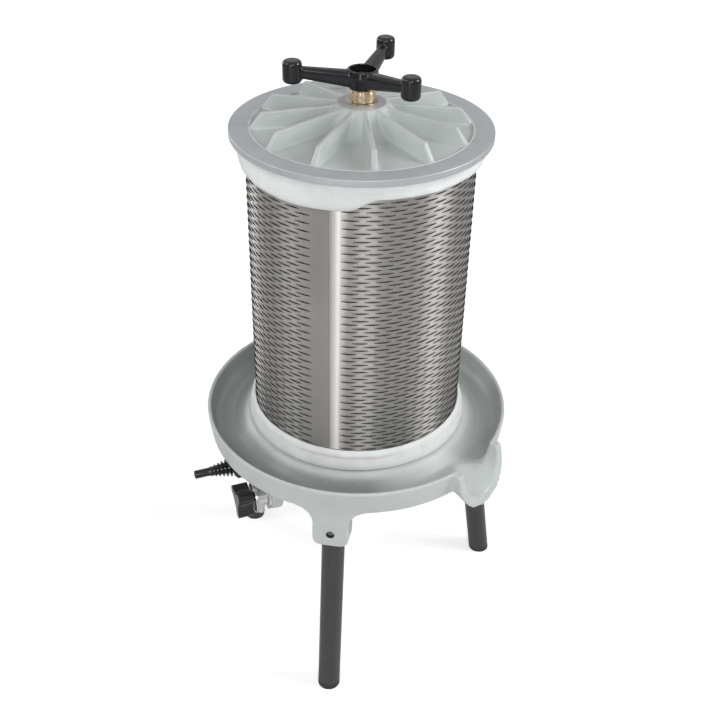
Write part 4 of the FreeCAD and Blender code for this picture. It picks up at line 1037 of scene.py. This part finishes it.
@dataclass
class HandleTop:
    """Star handle, its brass nut and the washer."""

    nut_radius: float = 14.0
    nut_low: float = 716.5
    nut_high: float = 730.1
    shank_radius: float = 12.5
    shank_high: float = 739.1
    bore: float = 10.05

    def build(self) -> list[Thing]:
        """The moulding, the turned nut and the washer."""
        star = Bench.node_copy("star_handle_moulding", "star_handle")
        Bench.remould(star, 0.75, 8, 150000)
        Bench.shade(star, 60)
        nut = self.nut()
        washer = Bench.shade(Bench.node_copy("washer_ring", "thrust_washer"))
        return [
            hand_over(star, BLACK_PLASTIC, Body.HANDLE, Slot.BLACK_PLASTIC, "star_handle"),
            hand_over(nut, BRASS, Body.HANDLE, Slot.BRASS, "brass_nut"),
            hand_over(washer, ZINC, Body.WASHER, Slot.ZINC, "thrust_washer"),
        ]

    def nut(self) -> Thing:
        """The turned nut with a bevelled foot and a groove below the handle."""
        outline = [
            (self.bore, self.nut_low),
            (self.nut_radius - 1.2, self.nut_low),
            (self.nut_radius, self.nut_low + 1.2, 0.4),
            (self.nut_radius, self.nut_high - 2.6, 0.3),
            (self.nut_radius - 0.7, self.nut_high - 2.1, 0.2),
            (self.nut_radius - 0.7, self.nut_high - 1.4, 0.2),
            (self.nut_radius, self.nut_high - 0.9, 0.2),
            (self.nut_radius, self.nut_high),
            (self.shank_radius, self.nut_high),
            (self.shank_radius, self.shank_high),
            (self.bore, self.shank_high),
            (self.bore, self.nut_low),
        ]
        return Bench.turned("brass_nut_turned", outline, 96)


@dataclass
class Cage:
    """Stainless cage of slit sheet with a plain welded band."""

    radius: float = 127.0
    sheet: float = 1.0
    low: float = 314.8
    high: float = 680.2
    hoop_radius: float = 130.0
    wire: float = 3.5
    columns: int = 31
    row: float = 4.785
    pairs: int = 36
    low_margin: float = 13.8
    band_middle: float = -156.9
    slit: float = 18.4
    opening: float = 1.15
    nip: float = 0.3
    proud: float = 0.6
    sunk: float = 0.3
    band_steps: tuple[float, ...] = (4.4, 4.2, 4.0, 3.6, 1.0, 0.4, 0.4, 0.4, 1.2, 1.2, 3.4, 3.05)
    weld_step: int = 6
    flat: float = field(init=False)
    band: float = field(init=False)
    cell: float = field(init=False)

    def __post_init__(self) -> None:
        """Works out the flat sheet's length, the plain band and one cell's width."""
        self.flat = math.tau * self.radius
        self.band = sum(self.band_steps)
        self.cell = (self.flat - self.band) / self.columns

    def columns_at(self) -> list[float]:
        """Where the lines of a cell's mesh stand."""
        end = (self.cell - self.slit) / 2
        half = self.cell / 2
        return [0.0, end, half - end, half, half + end, self.cell - end, self.cell]

    def grid(self, name: str, across: Sequence[float]) -> Thing:
        """One row of a cell: a grid whose lines are moved to their places.

        Args:
            name: The piece's name.
            across: Where the upright lines stand, in mm.

        Returns:
            The upright grid, three faces high.
        """
        up = [0.0, (self.row - self.opening) / 2, (self.row + self.opening) / 2, self.row]
        Bench.clear()
        bpy.ops.mesh.primitive_grid_add(
            x_subdivisions=len(across) - 1,
            y_subdivisions=3,
            size=0.001,
            rotation=(math.pi / 2, 0, 0),
            location=(0.0005, 0, 0.0005),
        )
        thing = Bench.added(name)
        last = len(across) - 1
        for index in range(last, -1, -1):
            at = index / last
            Bench.shift(thing, lambda p: np.abs(p[:, 0] - at) < 1e-3, (across[index] - at, 0, 0))
        for index in range(3, -1, -1):
            at = index / 3
            Bench.shift(thing, lambda p: np.abs(p[:, 2] - at) < 1e-3, (0, 0, up[index] - at))
        return thing

    def slit_cell(self) -> Thing:
        """A cell with its pressed slit: pinched ends, lower lip out, upper lip in."""
        lines = self.columns_at()
        thing = self.grid("slit_cell", lines)
        middle = self.row / 2
        tall = self.opening / 2

        def lip(side: int, inner: bool) -> Callable[[np.ndarray], np.ndarray]:
            """Picks one lip's inner points or its ends."""

            def test(p: np.ndarray) -> np.ndarray:
                """Points on that lip."""
                ends = (np.abs(p[:, 0] - lines[1]) < 0.01) | (np.abs(p[:, 0] - lines[5]) < 0.01)
                core = (p[:, 0] > lines[1] + 0.01) & (p[:, 0] < lines[5] - 0.01)
                return (np.abs(p[:, 2] - middle - side * tall) < 0.01) & (core if inner else ends)

            return test

        Bench.shift(thing, lip(-1, True), (0, -self.proud, 0))
        Bench.shift(thing, lip(1, True), (0, self.sunk, 0))
        for side in (-1, 1):
            Bench.shift(thing, lip(side, False), (0, 0, -side * self.nip))
        Bench.drop_faces(
            thing,
            lambda c: (np.abs(c[:, 2] - middle) < 0.35) & (c[:, 0] > lines[1]) & (c[:, 0] < lines[5]),
        )
        return thing

    def sheet_piece(self) -> Thing:
        """The whole sheet, flat: slit rows in half bond, margins and the plain band."""
        slit_row = self.slit_cell()
        Bench.repeat(slit_row, self.columns, (self.cell, 0, 0))
        offset_row = self.slit_cell()
        Bench.repeat(offset_row, self.columns - 1, (self.cell, 0, 0))
        Bench.place(offset_row, Matrix.Translation((self.cell / 2 * MM, 0, self.row * MM)))
        start = self.grid("plain_start", self.columns_at()[:4])
        Bench.place(start, Matrix.Translation((0, 0, self.row * MM)))
        end = self.grid("plain_end", self.columns_at()[:4])
        Bench.place(end, Matrix.Translation(((self.columns - 0.5) * self.cell * MM, 0, self.row * MM)))
        sheet = Bench.joined("cage_slit_sheet", slit_row, offset_row, start, end)
        Bench.repeat(sheet, self.pairs, (0, 0, 2 * self.row))
        Bench.merge(sheet, 2e-5)
        top = 2 * self.row * self.pairs
        high_margin = self.high - self.low - top - self.low_margin
        Bench.pull_edges(sheet, lambda p: np.abs(p[:, 2] - top) < 0.01, (0, 0, high_margin))
        Bench.pull_edges(sheet, lambda p: np.abs(p[:, 2]) < 0.01, (0, 0, -self.low_margin))
        side = self.columns * self.cell
        for step in self.band_steps:
            Bench.pull_edges(sheet, lambda p, at=side: np.abs(p[:, 0] - at) < 0.01, (step, 0, 0))
            side += step
        bead = side - sum(self.band_steps[self.weld_step:])
        Bench.shift(sheet, lambda p: np.abs(p[:, 0] - bead) < 0.1, (0, -0.12, 0))
        spots = Bench.points(sheet)
        store(sheet, "weld", 1 - smooth_step(0.1, 0.9, np.abs(spots[:, 0] - bead)))
        # Painted reflection: the band on one side of the weld gets a lighter colour.
        past = (spots[:, 0] - bead) % self.flat
        rest = side - bead + (self.cell - self.slit) / 2
        store(sheet, "painted_reflection", smooth_step(1.0, 3.2, past) * (past < rest - 0.01))
        shift = (-self.flat / 2 * MM, 0, (self.low + self.low_margin) * MM)
        return Bench.place(sheet, Matrix.Translation(shift))

    def build(self) -> list[Thing]:
        """Rolls the sheet up and adds the wired edges."""
        sheet = self.sheet_piece()
        Bench.modify(sheet, "SIMPLE_DEFORM", deform_method="BEND", deform_axis="Z", angle=math.tau)
        Bench.place(sheet, Matrix.Translation((0, -self.radius * MM, 0)))
        middle = -90 + math.degrees((self.flat - self.band) / 2 / self.radius)
        Bench.place(sheet, Matrix.Rotation(math.radians(self.band_middle - middle), 4, "Z"))
        Bench.merge(sheet, 5e-5, outward=True)
        sheet.data.materials.append(CAGE_STEEL.material())
        # The second material, near-black, is painted shade on the rim faces, the slits' cut edges among
        # them.
        sheet.data.materials.append(SLIT_SHADE.material())
        Bench.modify(sheet, "SOLIDIFY", thickness=self.sheet * MM, offset=-1, material_offset_rim=1)
        Bench.shade(sheet, 30)
        hoops = []
        for height in (self.low + self.wire, self.high - self.wire):
            outline = []
            for step in range(21):
                turn = math.radians(-200 + 20 * step)
                out, up = self.wire * math.cos(turn), self.wire * math.sin(turn)
                outline.append((self.hoop_radius + out, height + up))
            outline.append(outline[0])
            hoops.append(Bench.lathe("hoop", outline, 180))
        hoop = Bench.shade(Bench.merge(Bench.joined("cage_wired_edges", *hoops), outward=True), 40)
        return [
            hand_over(sheet, CAGE_STEEL, Body.CAGE, Slot.STAINLESS, "cage"),
            hand_over(hoop, RING_STEEL, Body.CAGE, Slot.STAINLESS),
        ]


@dataclass
class PressCloth:
    """Cloth sleeve that is folded out over the cage's top and turned up round its foot."""

    steps: int = 300
    thickness: float = 1.1
    outline: tuple[tuple[float, float], ...] = (
        (128.4, 338.6), (129.2, 337.2), (131.2, 335.4), (132.2, 333.2), (132.3, 330.8), (132.9, 328.6),
        (134.1, 325.0), (135.0, 321.0), (135.2, 317.6), (134.6, 315.3), (132.8, 314.2), (129.5, 314.0),
        (125.0, 314.0), (121.5, 314.3), (119.9, 315.8), (119.4, 319.0), (119.4, 330.0), (119.4, 350.0),
        (119.4, 380.0), (119.4, 420.0), (119.4, 460.0), (119.4, 500.0), (119.4, 540.0), (119.4, 580.0),
        (119.4, 620.0), (119.4, 645.0), (119.4, 662.0), (119.7, 671.0), (120.8, 677.0), (123.4, 680.2),
        (127.0, 681.1), (131.0, 681.2), (133.6, 680.4), (134.7, 678.0), (134.5, 675.2), (133.6, 673.0),
        (132.9, 671.4), (132.8, 669.8), (133.5, 667.6), (134.3, 664.4), (134.6, 661.0), (134.4, 657.6),
        (133.6, 654.4), (132.2, 651.6), (130.6, 649.6), (129.3, 648.6), (128.5, 648.2),
    )
    hem_lift: float = 13.0
    thread_run: float = 8.2
    thread_width: float = 2.8
    thread_strength: float = 0.35

    def folds(self, spots: np.ndarray) -> np.ndarray:
        """Lifts the hem on one side and lays soft creases in the folded parts.

        Args:
            spots: The sheet's points in mm.

        Returns:
            The points after folding.
        """
        away, angle = polar(spots)
        turn = from_front(angle)
        height = spots[:, 2].copy()
        rad = np.radians(turn)
        outside = smooth_step(127.0, 128.2, away)
        top = outside * smooth_step(640.0, 646.0, height)
        lifted = plateau((-6.0, 9.0), (120.0, 160.0), turn)
        below = 1 - np.clip((height - 648.2) / (670.0 - 648.2), 0, 1)
        wave = 0.9 * np.sin(3 * rad + 0.7) + 0.5 * np.sin(7 * rad + 2.0)
        lift = (self.hem_lift * lifted + wave) * below * top
        crease = 0.45 * np.sin(9 * rad + 0.10 * height) + 0.35 * np.sin(17 * rad - 0.16 * height + 1.0)
        crease += 0.25 * np.sin(31 * rad + 0.3 * height)
        swell = crease * top * np.sin(math.pi * np.clip((height - 648) / 26, 0, 1))
        foot = outside * plateau((314.5, 318.0), (336.0, 340.0), height)
        ripple = 0.28 * np.sin(23 * rad + 0.2 * height) + 0.22 * np.sin(11 * rad + 0.9)
        swell += foot * (ripple + 0.15 * np.sin(47 * rad))
        sleeve = (1 - outside) * plateau((320.0, 350.0), (640.0, 668.0), height)
        swell -= sleeve * (1.0 + np.sin(14 * rad + 0.004 * height) + 0.4 * np.sin(37 * rad))
        folded = spots.copy()
        scale = (away + swell) / away
        folded[:, 0] *= scale
        folded[:, 1] *= scale
        folded[:, 2] = height + lift
        return folded

    def build(self) -> list[Thing]:
        """Spins the sleeve, folds it, lays its threads and gives it its thickness."""
        cloth = Bench.lathe("press_cloth_sleeve", self.outline, self.steps)
        run = self.lay_threads(cloth)
        spots = Bench.points(cloth)
        self.mark_hems(cloth, spots, run)
        Bench.reshape(cloth, self.folds(spots))
        Bench.modify(cloth, "SOLIDIFY", thickness=self.thickness * MM, offset=0)
        Bench.shade(cloth, 60)
        hand_over(cloth, CLOTH, Body.CAGE, Slot.CLOTH, "press_cloth")
        return [cloth]

    def area(self, cloth: Thing) -> float:
        """The cut's area: what the hung sheet has."""
        return min(sum(face.area for face in cloth.data.polygons), 0.80 * 0.47)

    def lay_threads(self, cloth: Thing) -> np.ndarray:
        """Gives the sheet a UV map in metres along its threads.

        Args:
            cloth: The spun sheet.

        Returns:
            How far along the outline each point lies, in mm.
        """
        line = np.array(self.outline)
        gaps = np.hypot(*np.diff(line, axis=0).T)
        along = np.concatenate([[0], np.cumsum(gaps)])
        spots = Bench.points(cloth)
        away, angle = polar(spots)
        out, up = away[:, None] - line[None, :, 0], spots[:, 2, None] - line[None, :, 1]
        run = along[np.argmin(out**2 + up**2, axis=1)]
        layer = cloth.data.uv_layers.new(name="run")
        corner = np.zeros(len(cloth.data.loops), int)
        cloth.data.loops.foreach_get("vertex_index", corner)
        turn = angle[corner]
        starts = np.zeros(len(cloth.data.polygons), int)
        totals = np.zeros(len(cloth.data.polygons), int)
        cloth.data.polygons.foreach_get("loop_start", starts)
        cloth.data.polygons.foreach_get("loop_total", totals)
        first = np.repeat(turn[starts], totals)
        turn = np.where(turn - first > 180, turn - 360, turn)
        turn = np.where(first - turn > 180, turn + 360, turn)
        uv = np.stack([np.radians(turn) * 0.127, run[corner] * MM], axis=1)
        layer.data.foreach_set("uv", uv.ravel())
        return run

    def mark_hems(self, cloth: Thing, spots: np.ndarray, run: np.ndarray) -> None:
        """Marks the coloured thread of the foot's hem, on the front only."""
        _, angle = polar(spots)
        turn = from_front(angle)
        front = plateau((-34.0, -28.0), (18.0, 22.0), turn)
        near = np.abs(run - self.thread_run) < self.thread_width / 2
        store(cloth, "thread", front * near * self.thread_strength)


@dataclass
class Legs:
    """Three tube legs with plugs at their feet."""

    places: tuple[str, ...] = ("front_left", "front_right", "rear")

    def build(self) -> list[Thing]:
        """Copies of the solids with smooth shading."""
        pieces = []
        for place in self.places:
            tube = Bench.shade(Bench.node_copy("leg_tube_" + place, "leg_" + place))
            pieces.append(hand_over(tube, LEG_PAINT, Body.BASE, Slot.LEG_PAINT, "leg_" + place))
            plug = Bench.shade(Bench.node_copy("foot_plug_" + place, "foot_" + place))
            pieces.append(hand_over(plug, FOOT_PLASTIC, Body.BASE, Slot.FOOT_PLASTIC, "foot_" + place))
        return pieces


@dataclass(frozen=True)
class Fitting:
    """A small part that keeps its solid's shape.

    Attributes:
        node: The CAD node.
        finish: Its finish.
        slot: The record's slot.
        body: The body that it rides on.
        voxel: The mesh size in mm if it is cast or moulded, or 0.
        passes: How many smoothing passes round its corners.
    """

    node: str
    finish: Finish
    slot: Slot
    body: Body = Body.BASE
    voxel: float = 0.0
    passes: int = 0

    def build(self) -> Thing:
        """Copies the solid, softens it if it is cast, and hands it over."""
        thing = Bench.node_copy(self.node + "_part", self.node)
        if self.voxel:
            Bench.remould(thing, self.voxel, self.passes, 60000)
        Bench.shade(thing, 50 if self.voxel else 30)
        return hand_over(thing, self.finish, self.body, self.slot, self.node)


@dataclass
class WaterWorks:
    """Manifold, pipes, bladder, column and the tap's small parts."""

    fittings: tuple[Fitting, ...] = (
        Fitting("inlet_manifold", FITTING_BRASS, Slot.FITTING_BRASS, voxel=1.0, passes=4),
        Fitting("pipe_tee", FITTING_BRASS, Slot.FITTING_BRASS, voxel=0.8, passes=6),
        Fitting("pipe_elbow", FITTING_BRASS, Slot.FITTING_BRASS, voxel=0.8, passes=6),
        Fitting("manifold_gasket", RUBBER, Slot.RUBBER),
        Fitting("manifold_bolts", ZINC, Slot.ZINC),
        Fitting("centre_column", ZINC, Slot.ZINC),
        Fitting("column_washer", ZINC, Slot.ZINC),
        Fitting("column_nut", ZINC, Slot.ZINC),
        Fitting("bladder", RUBBER, Slot.RUBBER),
        Fitting("bladder_base_ring", RING_STEEL, Slot.STAINLESS),
        Fitting("bladder_ring_screws", ZINC, Slot.ZINC),
        Fitting("bladder_top_cap", RING_STEEL, Slot.STAINLESS),
        Fitting("bladder_top_nut", ZINC, Slot.ZINC),
        Fitting("inlet_pipe", ZINC, Slot.ZINC),
        Fitting("nozzle_pipe", ZINC, Slot.ZINC),
        Fitting("tap_pipe", ZINC, Slot.ZINC),
        Fitting("leg_set_screws", ZINC, Slot.ZINC),
        Fitting("tap_lock_nut", CHROME, Slot.CHROME),
        Fitting("tap_body", CHROME, Slot.CHROME, voxel=0.5, passes=5),
        Fitting("tap_spindle", ZINC, Slot.ZINC, Body.TAP),
        Fitting("tap_knob", BLACK_PLASTIC, Slot.BLACK_PLASTIC, Body.TAP, voxel=0.5, passes=8),
        Fitting("tap_knob_screw", ZINC, Slot.ZINC, Body.TAP),
        Fitting("nozzle_nut", BLACK_PLASTIC, Slot.BLACK_PLASTIC, voxel=0.5, passes=3),
    )
    branch: float = 150.0
    height: float = 252.0
    tap_offset: float = 64.0
    tip: float = 215.7
    tip_length: float = 18.0
    tip_radius: float = 5.25
    fin_count: int = 7
    fin_pitch: float = 4.8
    first_fin: float = 6.6
    last_fin: float = 13.5
    core_growth: float = 0.45
    bonnet_start: float = 153.5
    bonnet_radius: float = 19.5
    bonnet_length: float = 5.0

    def nozzle(self) -> Thing:
        """The finned hose nozzle."""
        base = self.tip - self.tip_length - self.fin_count * self.fin_pitch
        outline: list[tuple[float, ...]] = [(3.2, base - 4), (self.last_fin - 2, base - 4)]
        for index in range(self.fin_count):
            low = base + index * self.fin_pitch
            radius = self.last_fin + (self.first_fin - self.last_fin) * index / (self.fin_count - 1)
            core = self.tip_radius + (self.fin_count - index) * self.core_growth
            fin = [(radius, low + 0.5, 0.3), (radius, low + 1.5, 0.3)]
            outline += [(core, low, 0.2), *fin, (core, low + 2.4, 0.3)]
        outline += [
            (self.tip_radius, self.tip - self.tip_length + 1, 0.5),
            (self.tip_radius, self.tip, 0.8),
            (3.2, self.tip, 0.5),
            (3.2, self.tip - 20),
            (3.2, base - 4),
        ]
        place = outward(self.branch, (0, 0, self.height))
        return Bench.turned("hose_nozzle_moulding", outline, 72, place)

    def bonnet(self) -> Thing:
        """The chromed rings in front of the tap body."""
        low, wide, high = self.bonnet_start, self.bonnet_radius, self.bonnet_start + self.bonnet_length
        outline = [
            (4.05, low),
            (wide - 0.6, low, 0.4),
            (wide, low + 0.7, 0.4),
            (wide, low + 1.9, 0.3),
            (wide - 0.9, low + 2.1, 0.15),
            (wide - 0.9, low + 2.5, 0.15),
            (wide - 0.1, low + 2.7, 0.3),
            (wide - 0.4, high - 0.8, 0.6),
            (wide - 3.0, high, 0.8),
            (4.05, high),
            (4.05, low),
        ]
        place = outward(self.branch, (0, self.tap_offset, self.height))
        return Bench.turned("tap_bonnet_rings", outline, 96, place)

    def build(self) -> list[Thing]:
        """All small parts and the turned ones."""
        pieces = [fitting.build() for fitting in self.fittings]
        pieces.append(hand_over(self.nozzle(), BLACK_PLASTIC, Body.BASE, Slot.BLACK_PLASTIC, "hose_nozzle"))
        pieces.append(hand_over(self.bonnet(), CHROME, Body.BASE, Slot.CHROME, "tap_bonnet"))
        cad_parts["cloth_drawstring"].data.materials.clear()
        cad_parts["cloth_drawstring"].data.materials.append(CLOTH.material())
        return pieces


@dataclass(frozen=True)
class PhotoCamera:
    """The camera at the photograph's place, angle and field of view."""

    place: Point = (-823.07, -671.14, 1113.2)
    ahead: Point = (0.6395, 0.5179, -0.5682)
    right: Point = (0.62932, -0.77715, 0.0)
    up: Point = (0.4416, 0.3576, 0.8229)
    roll: float = 1.247
    focal: float = 51.6

    def build(self) -> None:
        """Makes the camera and sets it."""
        turn = math.radians(self.roll)
        right = Vector(self.right) * math.cos(turn) + Vector(self.up) * math.sin(turn)
        up = Vector(self.up) * math.cos(turn) - Vector(self.right) * math.sin(turn)
        matrix = Matrix((right, up, -Vector(self.ahead))).transposed().to_4x4()
        matrix.translation = Vector(self.place) * MM
        camera = bpy.data.cameras.new("photo_camera")
        camera.lens = self.focal
        camera.sensor_width = 36.0
        camera.clip_end = 60.0
        holder = bpy.data.objects.new("photo_camera", camera)
        bpy.context.scene.collection.objects.link(holder)
        holder.matrix_world = matrix
        bpy.context.scene.camera = holder


@dataclass(frozen=True)
class Lamp:
    """A soft lamp by its direction from the press.

    Attributes:
        name: The lamp's name.
        turn: Its angle round the press from the camera's side, in degrees, plus to the right.
        rise: Its angle above the floor, in degrees.
        distance: How far it stands, in metres.
        size: Its width and height in metres.
        power: Its power in watts.
    """

    name: str
    turn: float
    rise: float
    distance: float
    size: tuple[float, float]
    power: float

    def build(self) -> None:
        """Hangs the lamp, aimed at the cage."""
        light = bpy.data.lights.new(self.name, "AREA")
        light.shape = "RECTANGLE"
        light.size, light.size_y = self.size
        light.energy = self.power
        holder = bpy.data.objects.new(self.name, light)
        bpy.context.scene.collection.objects.link(holder)
        angle = math.radians(FRONT + self.turn)
        rise = math.radians(self.rise)
        away = Vector((math.cos(angle) * math.cos(rise), math.sin(angle) * math.cos(rise), math.sin(rise)))
        holder.location = away * self.distance + Vector((0, 0, 0.5))
        holder.rotation_euler = away.to_track_quat("Z", "Y").to_euler()


@dataclass
class Studio:
    """Pale floor, white surround and soft lamps."""

    lamps: tuple[Lamp, ...] = (
        Lamp("left_lamp", -75.0, 38.0, 2.4, (0.9, 1.2), 12.0),
        Lamp("right_lamp", 84.0, 30.0, 2.4, (0.9, 1.2), 28.0),
        Lamp("front_lamp", 8.0, 29.0, 3.0, (0.8, 1.0), 22.0),
        Lamp("streak_lamp", -17.5, 9.0, 2.6, (0.22, 1.6), 9.0),
        Lamp("edge_lamp", -122.0, 14.0, 2.4, (0.6, 1.2), 9.0),
    )
    surround: float = 0.26
    glossy: float = 0.62

    def build(self) -> None:
        """Sets the view, the world, the lamps and the floor."""
        bpy.context.scene.view_settings.view_transform = "Standard"
        for lamp in self.lamps:
            lamp.build()
        self.world()
        self.floor()

    def world(self) -> None:
        """White for the camera and in reflections, weaker as a lamp."""
        world = bpy.data.worlds.new("surround")
        world.use_nodes = True
        graph = Graph(world.node_tree)
        graph.tree.nodes.clear()
        seen, clear = self.rays(graph)
        shiny = graph.span(clear, self.surround, self.glossy)
        level = graph.node("Mix", {0: seen, 2: shiny, 3: 1.0})
        back = graph.node("Background", {"Color": (1, 1, 1, 1), "Strength": level.outputs[0]})
        graph.tree.links.new(back.outputs[0], graph.node("OutputWorld").inputs[0])
        bpy.context.scene.world = world

    def rays(self, graph: Graph) -> tuple[Socket, Socket]:
        """Masks of camera rays, and of glossy and transmission rays."""
        path = graph.node("LightPath").outputs
        clear = graph.math("MAXIMUM", path["Is Glossy Ray"], path["Is Transmission Ray"])
        return path["Is Camera Ray"], clear

    def floor(self) -> None:
        """A wide pale floor that shows white and keeps the shadow."""
        Bench.clear()
        bpy.ops.mesh.primitive_grid_add(x_subdivisions=12, y_subdivisions=12, size=40.0)
        floor = Bench.added("studio_floor")
        recipe = Recipe("pale_floor", Roughness=0.9, Specular_IOR_Level=0.1, Emission_Color=(1, 1, 1, 1))
        patches = recipe.noise(3.0, 2.0)
        recipe.feed("Base Color", recipe.mix(patches, (0.78, 0.78, 0.78, 1), (0.80, 0.80, 0.80, 1)))
        seen, clear = self.rays(recipe)
        away = recipe.node("VectorMath", {0: recipe.place()}, operation="LENGTH").outputs["Value"]
        glow = recipe.math("MULTIPLY", seen, recipe.span(away, 0.5, 0.85, 0.3, 2.4))
        recipe.feed("Emission Strength", recipe.math("ADD", glow, recipe.math("MULTIPLY", clear, 0.03)))
        floor.data.materials.append(recipe.material)


def main() -> None:
    """Builds the press, its studio and its camera."""
    logging.basicConfig(level=logging.INFO, format="%(name)s %(message)s")
    PhotoCamera().build()
    Studio().build()
    for assembly in (Tray(), Lid(), HandleTop(), Cage(), PressCloth(), Legs(), WaterWorks()):
        pieces = assembly.build()
        log.info("%s: %d pieces", type(assembly).__name__, len(pieces))
    Bench.clear()


if __name__ == "__main__":
    main()
